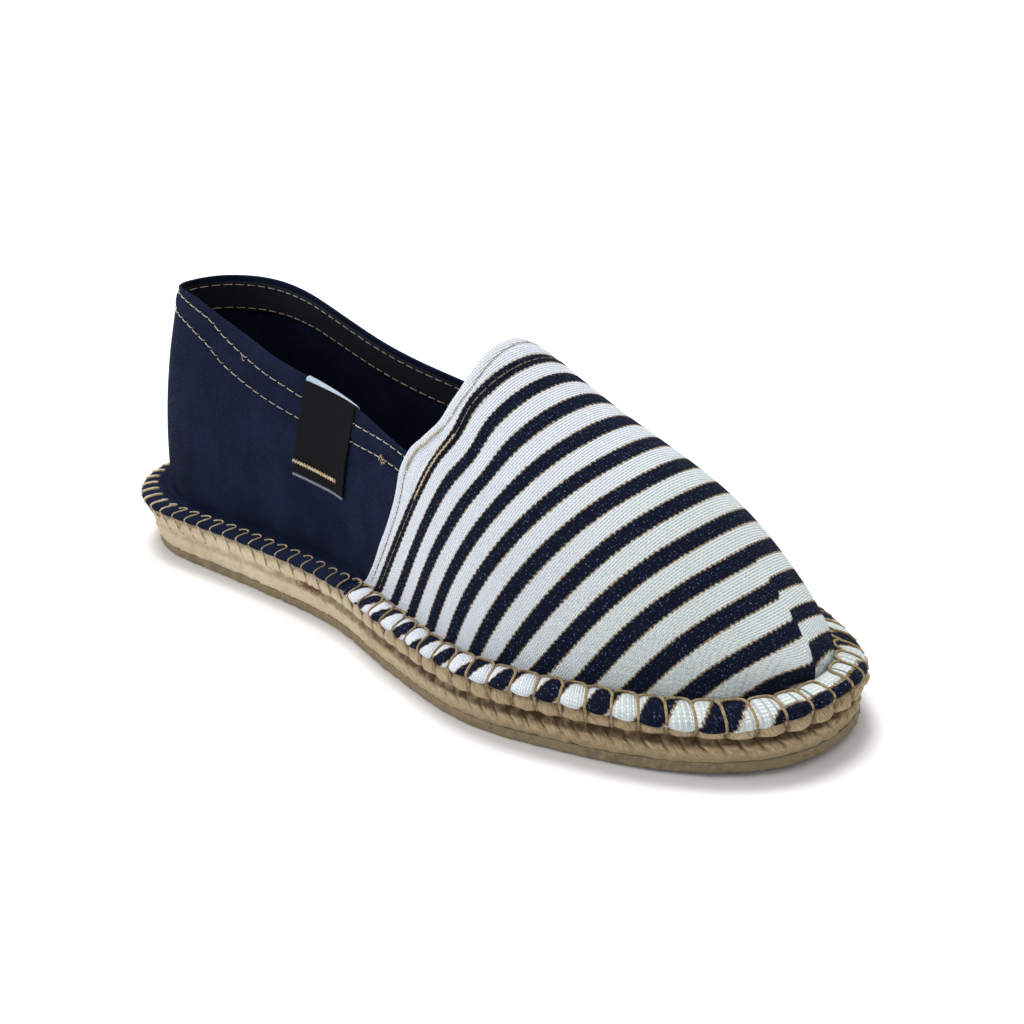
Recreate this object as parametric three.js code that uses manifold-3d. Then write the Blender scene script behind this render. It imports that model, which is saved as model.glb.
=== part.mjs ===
import * as THREE from 'three';
import { mergeVertices } from 'three/addons/utils/BufferGeometryUtils.js';
import Module from 'manifold-3d';

// An espadrille for the right foot, in millimetres. +X points to the toe, +Y to the inner side
// of the foot and +Z up, and it stands on z = 0.

// Driving dimensions
const SOLE_LENGTH = 268; // jute sole, heel to toe
const BALL_WIDTH = 94; // jute sole, across the ball of the foot
const HEEL_HEIGHT = 64; // collar at the heel, above the seam on the sole
const INSTEP_HEIGHT = 73; // ridge of the vamp at the throat, above the same seam
const RUBBER_THICKNESS = 2.6;
const JUTE_HEIGHT = 12.2;
const INSOLE_THICKNESS = 1.5;
const QUARTER_WALL = 1.2;
const VAMP_WALL = 1.3;
const HEM_STEP = 0.7; // the vamp's hem stands this far proud of the quarter
const SEAM_INSET = 6.7; // from the sole's edge in to the seam between upper and sole
const FLANGE_THICKNESS = 1.6; // cloth turned out over the sole, at the seam
const FLANGE_DROP = 5; // how far it rolls down over the jute at the toe
const FLANGE_SWELL = 1; // how much fuller the roll is there
const TOE_LIFT = 2;
const HEEL_TUCK = 2.8; // the sole's foot draws in this far at the heel
const SIDE_TUCK = 0.9;
const TOE_FLARE = 0.4;
const ROW_DEPTH = 1.4; // depth of the groove between the two jute rows
const RIB_DEPTH = 0.45;
const ROW_PINCH = 1.5; // the upper row is pulled in this far at the toe
const STITCH_PITCH = 6.8; // one rib of jute to each stitch of the flange
const RUBBER_LIP = 0.3;
const HEEL_DIP = 1.2; // the heel's back draws in this far just over the flange
const TAPE_WIDTH = 8;
const TAPE_THICKNESS = 0.6;
const TAPE_DROP = 3.2; // from the collar's edge down to the tape
const LABEL_WIDTH = 21;
const LABEL_LENGTH = 27;
const LABEL_THICKNESS = 0.6;
const LABEL_RETURN = 1.6; // what the label's fold reaches down inside the collar
const CLEARANCE = 0.3; // between neighbouring pieces
const SLIVER = 0.02; // edges shorter than this are closed up where the cloths join

// Shape of the outline's ends and of the arched sections
const HEEL_ROUND = 0.13; // share of the length that the round of the heel takes
const TOE_ROUND = 0.3;
const TOE_POWER = 2.3;
const LIFT_START = 0.68; // the sole is flat from the heel to here
const ARCH_SIDE_POWER = 2.14;
const ARCH_RISE_POWER = 1.8;
const TOE_CAP_START = 0.8;
const LEAN_POWER = 2; // the walls lean in more and more towards the collar
const DIP_REACH = 0.7; // share of the heel's height
const TUCK_POWER = 1.5;

// Places along the shoe, from 0 at the heel to 1 at the toe, where one form gives way to another
const DIP_FADE = [0.04, 0.2]; // the dip at the heel's back
const SQUARE_ON = [0.15, 0.35]; // the walls turn from square to the outline to square across
const ARCH_ON = [0.26, 0.46]; // they take up the arch of the vamp
const TUCK_END = 0.3;
const FLARE_START = 0.75;

// Edge of the vamp: where it leaves the sole, and where it crosses the ridge
const VAMP_EDGE_LOW = 0.465;
const VAMP_EDGE_HIGH = 0.605;
// Front end of the quarter, under the vamp
const QUARTER_END_LOW = 0.51;
const QUARTER_END_HIGH = 0.595;
const TAPE_END = 0.515;
const LABEL_PLACE = 0.389;

// Plan of the sole, as shares of the ball width
const PLAN = [
  { along: 0, centre: 0.024, half: 0.328 },
  { along: 0.12, centre: 0.029, half: 0.333 },
  { along: 0.28, centre: 0.025, half: 0.323 },
  { along: 0.42, centre: 0.022, half: 0.346 },
  { along: 0.55, centre: 0.011, half: 0.436 },
  { along: 0.68, centre: 0, half: 0.5 },
  { along: 0.82, centre: 0.017, half: 0.482 },
  { along: 1, centre: 0.013, half: 0.456 },
];

// Ridge of the vamp, as shares of the instep height
const RIDGE = [
  { along: 0.4, height: 1 },
  { along: 0.5, height: 1.005 },
  { along: 0.6, height: 0.97 },
  { along: 0.65, height: 0.882 },
  { along: 0.7, height: 0.792 },
  { along: 0.8, height: 0.636 },
  { along: 0.9, height: 0.455 },
  { along: 1, height: 0.23 },
];

// Collar of the quarter and how far its edge leans in, as shares of the heel height
const COLLAR = [
  { along: 0, outer: 1, inner: 1, outerLean: 0.13, innerLean: 0.13 },
  { along: 0.04, outer: 1.005, inner: 0.995, outerLean: 0.165, innerLean: 0.075 },
  { along: 0.1, outer: 1, inner: 0.98, outerLean: 0.185, innerLean: 0.045 },
  { along: 0.18, outer: 0.945, inner: 0.95, outerLean: 0.14, innerLean: 0.05 },
  { along: 0.3, outer: 0.843, inner: 0.838, outerLean: 0.075, innerLean: 0.075 },
  { along: 0.42, outer: 0.747, inner: 0.74, outerLean: 0.1, innerLean: 0.1 },
  { along: 0.5, outer: 0.695, inner: 0.66, outerLean: 0.14, innerLean: 0.12 },
  { along: 0.6, outer: 0.65, inner: 0.61, outerLean: 0.2, innerLean: 0.18 },
];

// Side of the jute: rise as a share of its height, outset of the row depth, rib of the rib
// depth, and pinch, the share of its inward pull where the flange is drawn down over it
const JUTE_SIDE = [
  { rise: 0, outset: -0.4, rib: 0, pinch: 0 },
  { rise: 0.14, outset: -0.05, rib: 0.6, pinch: 0 },
  { rise: 0.3, outset: 0, rib: 1, pinch: 0 },
  { rise: 0.5, outset: -1, rib: 0, pinch: 0.2 },
  { rise: 0.7, outset: 0, rib: 1, pinch: 1 },
  { rise: 0.88, outset: -0.6, rib: 0.3, pinch: 1 },
  { rise: 1, outset: -1.9, rib: 0, pinch: 1 },
];

// Section of the flange: outset as a share of the seam inset, rise of the flange's thickness,
// and the shares of its drop and its swell that each point takes
const FLANGE_SIDE = [
  { outset: -1, rise: 1, drop: 0, swell: 0 },
  { outset: -0.72, rise: 1.3, drop: 0, swell: 0 },
  { outset: -0.3, rise: 1.22, drop: 0.12, swell: 0.4 },
  { outset: 0.02, rise: 0.9, drop: 0.4, swell: 0.9 },
  { outset: 0.14, rise: 0.35, drop: 0.8, swell: 1 },
  { outset: 0.11, rise: -0.1, drop: 1, swell: 0.5 },
  { outset: 0.03, rise: 0, drop: 0.9, swell: 0 },
  { outset: -0.09, rise: 0, drop: 0.3, swell: 0 },
  { outset: -0.3, rise: 0, drop: 0, swell: 0 },
];

// How far the flange is drawn down along the shoe
const DROP = [
  { along: 0, share: 0 },
  { along: 0.45, share: 0 },
  { along: 0.7, share: 0.16 },
  { along: 0.85, share: 0.6 },
  { along: 1, share: 1 },
];

// Heights that follow from the stack
const JUTE_BASE = RUBBER_THICKNESS + CLEARANCE;
const JUTE_TOP = JUTE_BASE + JUTE_HEIGHT;
const SEAT_HEIGHT = JUTE_TOP + CLEARANCE;
const SEAM_HEIGHT = SEAT_HEIGHT + FLANGE_THICKNESS;
const SHELL_TUCK = FLANGE_THICKNESS / 2; // the walls reach this far down into the flange
const QUARTER_BACK = HEM_STEP + QUARTER_WALL; // depth of the quarter's inner face
const FLANGE_INSET = SEAM_INSET + QUARTER_BACK + CLEARANCE;
const INSOLE_INSET = FLANGE_INSET + CLEARANCE;

const wasm = await Module();
wasm.setup();

// A table's column at any place, as a smooth curve through its rows
function read(table, column, place) {
  const last = table.length - 1;
  const at = THREE.MathUtils.clamp(place, table[0].along, table[last].along);
  let row = 0;
  while (row < last - 1 && table[row + 1].along < at) row += 1;
  const slope = (index) => {
    const before = table[Math.max(index - 1, 0)];
    const after = table[Math.min(index + 1, last)];
    return (after[column] - before[column]) / (after.along - before.along);
  };
  const from = table[row];
  const to = table[row + 1];
  const span = to.along - from.along;
  const u = (at - from.along) / span;
  const v = 1 - u;
  return from[column] * v * v * (1 + 2 * u) + to[column] * u * u * (1 + 2 * v)
    + span * u * v * (slope(row) * v - slope(row + 1) * u);
}

// A turn goes once round the shoe: 0 at the back of the heel, half a circle at the tip of the
// toe, below 0 on the outer side. Its place along the shoe runs from 0 to 1.
const alongOf = (turn) => (1 - Math.cos(turn)) / 2;
const turnAt = (along) => Math.acos(1 - 2 * along);

function roundness(along) {
  const heel = Math.max(0, 1 - along / HEEL_ROUND);
  const toe = Math.max(0, 1 - (1 - along) / TOE_ROUND);
  return Math.sqrt(1 - heel ** 2) * (1 - toe ** TOE_POWER) ** (1 / TOE_POWER);
}

const placeX = (along, outset) => (along - 0.5) * (SOLE_LENGTH + 2 * outset);
const centreY = (along) => BALL_WIDTH * read(PLAN, 'centre', along);
const halfWidth = (along, outset) => (
  (BALL_WIDTH * read(PLAN, 'half', along) + outset) * roundness(along)
);

function toeLift(x) {
  const start = (LIFT_START - 0.5) * SOLE_LENGTH;
  const share = Math.max(0, x - start) / (SOLE_LENGTH / 2 - start);
  return TOE_LIFT * share ** 2;
}

// The outline of the sole, grown by outset, at height z over a floor that bends with the toe
function edgePoint(turn, outset, z) {
  const along = alongOf(turn);
  const x = placeX(along, outset);
  const y = centreY(along) + Math.sign(turn) * halfWidth(along, outset);
  return new THREE.Vector3(x, y, z + toeLift(x));
}

// Turns at even distances along both sides, as many as the pitch asks for
function evenTurns(pitch, perPitch) {
  const steps = 400;
  const lengths = [0];
  for (let i = 1; i <= steps; i += 1) {
    const before = edgePoint((Math.PI * (i - 1)) / steps, 0, 0);
    lengths.push(lengths[i - 1] + before.distanceTo(edgePoint((Math.PI * i) / steps, 0, 0)));
  }
  const count = Math.round(lengths[steps] / pitch) * perPitch;
  const side = [0];
  for (let i = 1, k = 1; i < count; i += 1) {
    const goal = (lengths[steps] * i) / count;
    while (lengths[k] < goal) k += 1;
    side.push((Math.PI * (k - (lengths[k] - goal) / (lengths[k] - lengths[k - 1]))) / steps);
  }
  return [...side.slice(1).reverse().map((turn) => -turn), ...side, Math.PI];
}

// A closed mesh from points and triangles, its coinciding points joined and its faces outward
function closedGeometry(points, triangles) {
  const loose = new THREE.BufferGeometry().setFromPoints(points);
  loose.setIndex(triangles.flat());
  const joined = mergeVertices(loose);
  const index = joined.getIndex().array;
  const place = joined.getAttribute('position');
  const corner = new THREE.Vector3();
  const second = new THREE.Vector3();
  const third = new THREE.Vector3();
  const kept = [];
  let volume = 0;
  for (let i = 0; i < index.length; i += 3) {
    const [a, b, c] = index.slice(i, i + 3);
    if (a !== b && b !== c && c !== a) {
      kept.push([a, b, c]);
      second.fromBufferAttribute(place, b);
      third.fromBufferAttribute(place, c);
      volume += corner.fromBufferAttribute(place, a).dot(second.cross(third));
    }
  }
  joined.setIndex((volume > 0 ? kept : kept.map(([a, b, c]) => [a, c, b])).flat());
  return joined;
}

// Two triangles for each cell between neighbouring rows of points. Each row holds indices.
function strip(first, second) {
  const triangles = [];
  for (let i = 0; i + 1 < first.length; i += 1) {
    triangles.push([first[i], first[i + 1], second[i + 1]], [first[i], second[i + 1], second[i]]);
  }
  return triangles;
}

// A loop of sections round the shoe. An open section runs from the lower edge to the upper one
// and is filled across at both, a closed one makes a ring.
function loopGeometry(turns, section, isRing) {
  const sections = turns.map(section);
  const size = sections[0].length;
  const columns = sections.map((points, i) => points.map((point, k) => i * size + k));
  const triangles = [];
  columns.forEach((column, i) => {
    const next = columns[(i + 1) % columns.length];
    const wrap = isRing ? [0] : [];
    triangles.push(...strip(
      [...column, ...wrap.map(() => column[0])],
      [...next, ...wrap.map(() => next[0])],
    ));
  });
  if (!isRing) {
    // The last turn is the toe's tip, and the others lie in pairs on either side of the heel
    const tip = columns.length - 1;
    const heel = (tip - 1) / 2;
    const across = (k, flip) => {
      const level = columns.map((column) => column[k]);
      const outer = [...level.slice(0, heel + 1).reverse(), level[tip]];
      const inner = level.slice(heel);
      return flip ? strip(inner, outer) : strip(outer, inner);
    };
    triangles.push(...across(0, true), ...across(size - 1, false));
  }
  return closedGeometry(sections.flat(), triangles);
}

// A sheet between two faces over the same grid, closed along its four edges
function sheetGeometry(rows, columns, face, back) {
  const grid = [];
  [face, back].forEach((surface) => {
    rows.forEach((row) => columns.forEach((column) => grid.push(surface(row, column))));
  });
  const at = (side, i, k) => (side * rows.length + i) * columns.length + k;
  const rowOf = (side, i) => columns.map((column, k) => at(side, i, k));
  const columnOf = (side, k) => rows.map((row, i) => at(side, i, k));
  const triangles = [];
  for (let i = 0; i + 1 < rows.length; i += 1) {
    triangles.push(...strip(rowOf(0, i), rowOf(0, i + 1)), ...strip(rowOf(1, i + 1), rowOf(1, i)));
  }
  triangles.push(
    ...strip(rowOf(1, 0), rowOf(0, 0)),
    ...strip(rowOf(0, rows.length - 1), rowOf(1, rows.length - 1)),
    ...strip(columnOf(0, 0), columnOf(1, 0)),
    ...strip(columnOf(1, columns.length - 1), columnOf(0, columns.length - 1)),
  );
  return closedGeometry(grid, triangles);
}

function toSolid(geometry) {
  const vertProperties = new Float32Array(geometry.getAttribute('position').array);
  const triVerts = new Uint32Array(geometry.getIndex().array);
  return new wasm.Manifold(new wasm.Mesh({ numProp: 3, vertProperties, triVerts }));
}

function toGeometry(solid) {
  const mesh = solid.getMesh();
  const geometry = new THREE.BufferGeometry();
  geometry.setAttribute('position', new THREE.BufferAttribute(mesh.vertProperties, 3));
  geometry.setIndex(new THREE.BufferAttribute(mesh.triVerts, 1));
  return geometry;
}

// Steps from one value to another, both included
const steps = (from, to, count) => (
  Array.from({ length: count + 1 }, (unused, i) => THREE.MathUtils.lerp(from, to, i / count))
);

// How far the sole's side is drawn in at its foot, fading out up to the seam
function footInset(along, z) {
  const heel = HEEL_TUCK * Math.max(0, 1 - along / TUCK_END) ** TUCK_POWER;
  const toe = TOE_FLARE * Math.max(0, (along - FLARE_START) / (1 - FLARE_START)) ** TUCK_POWER;
  return (SIDE_TUCK + heel - toe) * (1 - z / SEAM_HEIGHT);
}

// Rubber outsole, with a slight waist between its two edges
function outsoleGeometry(turns) {
  const levels = [0, 0.5, 1];
  return loopGeometry(turns, (turn) => levels.map((level) => {
    const z = level * RUBBER_THICKNESS;
    const lip = RUBBER_LIP * Math.abs(2 * level - 1);
    return edgePoint(turn, lip - footInset(alongOf(turn), z), z);
  }));
}

// Jute sole: two plaited rows with a groove between them, and a rib under every stitch
function juteGeometry() {
  const perRib = 3;
  const turns = evenTurns(STITCH_PITCH, perRib);
  const ribOf = new Map(turns.map((turn, i) => [turn, Math.cos((2 * Math.PI * i) / perRib)]));
  return loopGeometry(turns, (turn) => JUTE_SIDE.map(({ rise, outset, rib, pinch }) => {
    const z = JUTE_BASE + rise * JUTE_HEIGHT;
    const along = alongOf(turn);
    const pull = ROW_PINCH * pinch * read(DROP, 'share', along);
    const relief = ROW_DEPTH * outset + RIB_DEPTH * rib * ribOf.get(turn) - pull;
    return edgePoint(turn, relief - footInset(along, z), z);
  }));
}

function insoleGeometry(turns) {
  const levels = [0, INSOLE_THICKNESS];
  return loopGeometry(turns, (turn) => (
    levels.map((level) => edgePoint(turn, -INSOLE_INSET, SEAT_HEIGHT + level))
  ));
}

// Ridge height of the arched sections at a depth under the vamp's face
function archHeight(along, depth) {
  const toe = Math.max(0, (along - TOE_CAP_START) / (1 - TOE_CAP_START));
  return (INSTEP_HEIGHT * read(RIDGE, 'height', along) - depth) * Math.sqrt(1 - toe ** 2);
}

// A point of the vamp. angle goes from 0 at the outer side over the ridge to half a circle.
// Angles beyond either end reach down into the flange.
function vampPoint(along, angle, depth) {
  const around = THREE.MathUtils.clamp(angle, 0, Math.PI);
  const inset = -(SEAM_INSET + depth);
  const reach = Math.cos(around);
  const y = centreY(along)
    - halfWidth(along, inset) * Math.sign(reach) * Math.abs(reach) ** (2 / ARCH_SIDE_POWER);
  const height = around === angle
    ? archHeight(along, depth) * Math.abs(Math.sin(around)) ** (2 / ARCH_RISE_POWER)
    : -SHELL_TUCK;
  const x = placeX(along, inset);
  return new THREE.Vector3(x, y, SEAM_HEIGHT + height + toeLift(x));
}

// How far in the arched section lies at a height above the seam
function archInset(along, height, depth) {
  const share = Math.min(1, Math.max(0, height) / archHeight(along, depth));
  const reach = (1 - share ** ARCH_RISE_POWER) ** (1 / ARCH_SIDE_POWER);
  return halfWidth(along, -(SEAM_INSET + depth)) * (1 - reach);
}

// A point of the quarter. rise is 0 at the seam and 1 at the collar, and below 0 it reaches
// down into the flange. Towards the front the wall turns into the vamp's arched section.
function quarterPoint(turn, rise, depth) {
  const along = alongOf(turn);
  const inset = -(SEAM_INSET + depth);
  const foot = edgePoint(turn, inset, SEAM_HEIGHT);
  if (rise < 0) return foot.setZ(foot.z - SHELL_TUCK);
  const side = turn < 0 ? 'outer' : 'inner';
  const height = rise * collarHeight(turn);
  const dip = HEEL_DIP * Math.sin(Math.PI * Math.min(1, rise / DIP_REACH));
  const leaned = HEEL_HEIGHT * read(COLLAR, `${side}Lean`, along) * rise ** LEAN_POWER
    + dip * (1 - THREE.MathUtils.smoothstep(along, ...DIP_FADE));
  const front = THREE.MathUtils.smoothstep(along, ...ARCH_ON);
  const inward = THREE.MathUtils.lerp(leaned, archInset(along, height, depth), front);
  const nudge = 0.01;
  const before = edgePoint(turn - nudge, inset, 0);
  const after = edgePoint(turn + nudge, inset, 0);
  const normal = new THREE.Vector3(after.y - before.y, before.x - after.x, 0).normalize();
  const across = new THREE.Vector3(0, -Math.sign(turn), 0);
  const direction = normal.lerp(across, THREE.MathUtils.smoothstep(along, ...SQUARE_ON)).normalize();
  return foot.addScaledVector(direction, inward).setZ(foot.z + height);
}

function collarHeight(turn) {
  return HEEL_HEIGHT * read(COLLAR, turn < 0 ? 'outer' : 'inner', alongOf(turn));
}

// The quarter runs round the heel from under one side of the vamp to under the other
function quarterShell() {
  const ends = (rise) => turnAt(
    THREE.MathUtils.lerp(QUARTER_END_LOW, QUARTER_END_HIGH, Math.max(0, rise)),
  );
  const surface = (depth) => (rise, share) => quarterPoint(share * ends(rise), rise, depth);
  const rises = [-1, ...steps(0, 1, 10)];
  return sheetGeometry(rises, steps(-1, 1, 44), surface(HEM_STEP), surface(QUARTER_BACK));
}

// The vamp runs from its slanted hem at the throat to the tip of the toe
function vampShell() {
  const surface = (depth) => (share, angle) => {
    const lean = Math.sin(THREE.MathUtils.clamp(angle, 0, Math.PI));
    const edge = THREE.MathUtils.lerp(VAMP_EDGE_LOW, VAMP_EDGE_HIGH, lean);
    const turn = THREE.MathUtils.lerp(turnAt(edge), Math.PI, share);
    return vampPoint(alongOf(turn), angle, depth);
  };
  const angles = [-1, ...steps(0, Math.PI, 26), Math.PI + 1];
  return sheetGeometry(steps(0, 1, 16), angles, surface(0), surface(VAMP_WALL));
}

// Both cloths are turned out over the sole's edge into one flange, all the way round
function flangeRing(turns) {
  const inner = [SEAT_HEIGHT, SEAM_HEIGHT];
  return loopGeometry(turns, (turn) => {
    const share = read(DROP, 'share', alongOf(turn));
    return [
      ...inner.map((z) => edgePoint(turn, -FLANGE_INSET, z)),
      ...FLANGE_SIDE.map((row) => edgePoint(
        turn,
        SEAM_INSET * row.outset + share * FLANGE_SWELL * row.swell,
        SEAT_HEIGHT + FLANGE_THICKNESS * row.rise - share * FLANGE_DROP * row.drop,
      )),
    ];
  }, true);
}

function upperGeometry(turns) {
  const shells = [quarterShell(), vampShell()].map(toSolid);
  const whole = shells.reduce((solid, shell) => solid.add(shell), toSolid(flangeRing(turns)));
  return toGeometry(whole.simplify(SLIVER));
}

// Tape sewn inside the collar
function tapeGeometry() {
  const end = turnAt(TAPE_END);
  const surface = (depth) => (drop, turn) => (
    quarterPoint(turn, 1 - drop / collarHeight(turn), depth)
  );
  const back = QUARTER_BACK + CLEARANCE;
  const drops = steps(TAPE_DROP, TAPE_DROP + TAPE_WIDTH, 2);
  return sheetGeometry(drops, steps(-end, end, 44), surface(back), surface(back + TAPE_THICKNESS));
}

// Label folded over the collar on the outer side. Its path runs up the outside, round the
// collar's edge and a little way down inside.
function labelGeometry() {
  const path = [
    ...steps(LABEL_LENGTH, 0, 6).map((drop) => ({ drop, bend: -1 })),
    ...steps(-0.5, 0.5, 2).map((bend) => ({ drop: 0, bend })),
    ...steps(0, LABEL_RETURN, 1).map((drop) => ({ drop, bend: 1 })),
  ];
  const surface = (thickness) => ({ drop, bend }, offset) => {
    const turn = -turnAt(LABEL_PLACE + offset / SOLE_LENGTH);
    const angle = (bend * Math.PI) / 2;
    const radius = QUARTER_WALL / 2 + CLEARANCE + thickness;
    const depth = HEM_STEP + QUARTER_WALL / 2 + radius * Math.sin(angle);
    const point = quarterPoint(turn, 1 - drop / collarHeight(turn), depth);
    return point.setZ(point.z + radius * Math.cos(angle));
  };
  const offsets = steps(-LABEL_WIDTH / 2, LABEL_WIDTH / 2, 3);
  return sheetGeometry(path, offsets, surface(LABEL_THICKNESS), surface(0));
}

function piece(name, geometry, color, roughness) {
  const material = new THREE.MeshStandardMaterial({ color, roughness, metalness: 0 });
  const mesh = new THREE.Mesh(geometry, material);
  mesh.name = name;
  return mesh;
}

const turns = evenTurns(STITCH_PITCH, 1);

const shoe = new THREE.Group();
shoe.add(
  piece('outsole', outsoleGeometry(turns), 0xa5916e, 0.85),
  piece('jute_sole', juteGeometry(), 0xc8ac80, 0.95),
  piece('insole', insoleGeometry(turns), 0xcdb78f, 0.9),
  piece('upper', upperGeometry(turns), 0xd7dee8, 0.9),
  piece('collar_tape', tapeGeometry(), 0x17171b, 0.9),
  piece('side_label', labelGeometry(), 0x19191c, 0.85),
);

// The origin lies on the floor, under the middle of the whole shoe
const bounds = new THREE.Box3().setFromObject(shoe);
const middle = bounds.getCenter(new THREE.Vector3());
shoe.position.set(-middle.x, -middle.y, -bounds.min.z);

export default shoe;
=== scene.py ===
import math

import bmesh
import bpy
from mathutils import Matrix, Vector, noise


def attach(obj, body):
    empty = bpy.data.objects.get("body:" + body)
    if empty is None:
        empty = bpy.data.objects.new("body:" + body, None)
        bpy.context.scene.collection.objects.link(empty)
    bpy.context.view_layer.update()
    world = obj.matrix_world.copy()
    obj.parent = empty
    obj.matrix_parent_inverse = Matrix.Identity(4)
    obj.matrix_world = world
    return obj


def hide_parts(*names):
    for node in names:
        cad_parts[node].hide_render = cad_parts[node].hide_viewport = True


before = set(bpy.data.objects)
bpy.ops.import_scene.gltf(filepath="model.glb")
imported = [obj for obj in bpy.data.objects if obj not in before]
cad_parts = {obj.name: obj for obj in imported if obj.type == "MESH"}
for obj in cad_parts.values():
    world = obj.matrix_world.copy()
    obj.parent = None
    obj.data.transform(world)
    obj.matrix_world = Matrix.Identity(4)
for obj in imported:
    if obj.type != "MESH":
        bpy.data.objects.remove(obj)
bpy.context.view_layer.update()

# Rubber outsole
# A thin sheet of khaki rubber pressed on under the jute. Its rim is cut a little rough, with a
# lip at both edges, and its underside has fine slanting ribs towards the toe.

MM = 0.001
MIDDLE = Vector((-0.5, -0.18, 0.0))  # from the middle of the sole to the shared frame, mm

SOLE_LENGTH = 268.0
BALL_WIDTH = 94.0
SEAM_HEIGHT = 17.0
HEEL_ROUND = 0.13
TOE_ROUND = 0.3
TOE_POWER = 2.3

SOLE_CENTRE = (
    (0, 0.024), (0.12, 0.029), (0.28, 0.025), (0.42, 0.022),
    (0.55, 0.011), (0.68, 0), (0.82, 0.017), (1, 0.013),
)
SOLE_HALF = (
    (0, 0.328), (0.12, 0.333), (0.28, 0.323), (0.42, 0.346),
    (0.55, 0.436), (0.68, 0.5), (0.82, 0.482), (1, 0.456),
)


def read(table, place):
    """Value of a table at a place, as a smooth curve through its rows."""
    last = len(table) - 1
    at = min(max(place, table[0][0]), table[last][0])
    row = 0
    while row < last - 1 and table[row + 1][0] < at:
        row += 1

    def slope(index):
        before = table[max(index - 1, 0)]
        after = table[min(index + 1, last)]
        return (after[1] - before[1]) / (after[0] - before[0])

    span = table[row + 1][0] - table[row][0]
    u = (at - table[row][0]) / span
    v = 1 - u
    ends = table[row][1] * v * v * (1 + 2 * u) + table[row + 1][1] * u * u * (1 + 2 * v)
    return ends + span * u * v * (slope(row) * v - slope(row + 1) * u)


def blend(value, low, high):
    """0 below low, 1 above high, and smooth between them."""
    u = min(max((value - low) / (high - low), 0), 1)
    return u * u * (3 - 2 * u)


def dent(distance, width):
    """1 at no distance, and soon 0 past the width."""
    return math.exp(-(distance / width) ** 2)


def mix(a, b, share):
    return a + (b - a) * share


def steps(start, end, count):
    return [mix(start, end, i / count) for i in range(count + 1)]


def along_of(turn):
    """Place along the shoe, 0 at the heel and 1 at the toe. Turns below 0 are the outer side."""
    return (1 - math.cos(turn)) / 2


def turn_at(along):
    return math.acos(1 - 2 * min(max(along, 0), 1))


def half_width(along, outset):
    heel = max(0, 1 - along / HEEL_ROUND)
    toe = max(0, 1 - (1 - along) / TOE_ROUND)
    rounded = math.sqrt(1 - heel * heel) * max(0, 1 - toe ** TOE_POWER) ** (1 / TOE_POWER)
    return (BALL_WIDTH * read(SOLE_HALF, along) + outset) * rounded


def lift(x):
    """The sole's toe curls up from the floor by 2 mm."""
    share = max(0, x - 0.18 * SOLE_LENGTH) / (0.32 * SOLE_LENGTH)
    return 2 * share * share


def edge_point(turn, outset, z):
    """The sole's outline, grown by outset, at height z."""
    along = along_of(turn)
    x = (along - 0.5) * (SOLE_LENGTH + 2 * outset)
    side = (turn > 0) - (turn < 0)
    y = BALL_WIDTH * read(SOLE_CENTRE, along) + side * half_width(along, outset)
    return Vector((x, y, z + lift(x)))


def cap_point(turn, outset, z, share):
    """Inside the outline, from its long middle line at 0 to its edge at 1."""
    point = edge_point(turn, outset, z)
    middle = BALL_WIDTH * read(SOLE_CENTRE, along_of(turn))
    point.y = mix(middle, point.y, share)
    return point


WALK = [0.0]
for i in range(1, 801):
    last_spot = edge_point(math.pi * (i - 1) / 800, 0, 0)
    WALK.append(WALK[-1] + (edge_point(math.pi * i / 800, 0, 0) - last_spot).length)
HALF_ROUND = WALK[-1]  # from the back of the heel to the tip of the toe, along the outline, mm


def walk_of(turn):
    """Distance round the outline from the back of the heel, below 0 on the outer side."""
    step = min(abs(turn) / math.pi * 800, 799.999)
    low = int(step)
    return math.copysign(mix(WALK[low], WALK[low + 1], step - low), turn)


def turn_after(walk):
    goal = min(abs(walk), HALF_ROUND)
    low, high = 0, 800
    while high - low > 1:
        middle = (low + high) // 2
        if WALK[middle] <= goal:
            low = middle
        else:
            high = middle
    part = (goal - WALK[low]) / (WALK[high] - WALK[low])
    return math.copysign(math.pi * (low + part) / 800, walk)


def foot_inset(along, z):
    """The sole's side is drawn in at its foot, most at the heel."""
    heel = 2.8 * max(0, 1 - along / 0.3) ** 1.5
    toe = 0.4 * max(0, (along - 0.75) / 0.25) ** 1.5
    return (0.9 + heel - toe) * (1 - z / SEAM_HEIGHT)


def lay_sheet(columns, rows, place):
    """Lays a grid over a surface. place(column, row) gives a point in mm, its place on the cloth
    in mm, and a pattern place where the piece has a pattern."""
    bm = bmesh.new()
    maps = [bm.loops.layers.uv.new("cloth"), bm.loops.layers.uv.new("pattern")]
    across = len(columns) - 1
    up = len(rows) - 1
    bmesh.ops.create_grid(bm, x_segments=across, y_segments=up, size=0.5)
    spots = {}
    for vert in bm.verts:
        column = columns[round((vert.co.x + 0.5) * across)]
        row = rows[round((vert.co.y + 0.5) * up)]
        spots[vert] = place(column, row)
    for face in bm.faces:
        for loop in face.loops:
            for layer, spot in zip(maps, spots[loop.vert][1:]):
                loop[layer].uv = spot
    for vert, spot in spots.items():
        vert.co = (spot[0] + MIDDLE) * MM
    bmesh.ops.remove_doubles(bm, verts=bm.verts, dist=0.000002)
    return bm


def make_piece(name, bm, slot, *materials):
    """Turns the bmesh into a smooth piece that rides on the shoe."""
    mesh = bpy.data.meshes.new(name)
    bm.to_mesh(mesh)
    bm.free()
    for material in materials:
        mesh.materials.append(material)
    mesh.polygons.foreach_set("use_smooth", [True] * len(mesh.polygons))
    piece = bpy.data.objects.new(name, mesh)
    bpy.context.scene.collection.objects.link(piece)
    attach(piece, "root")
    return piece


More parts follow.
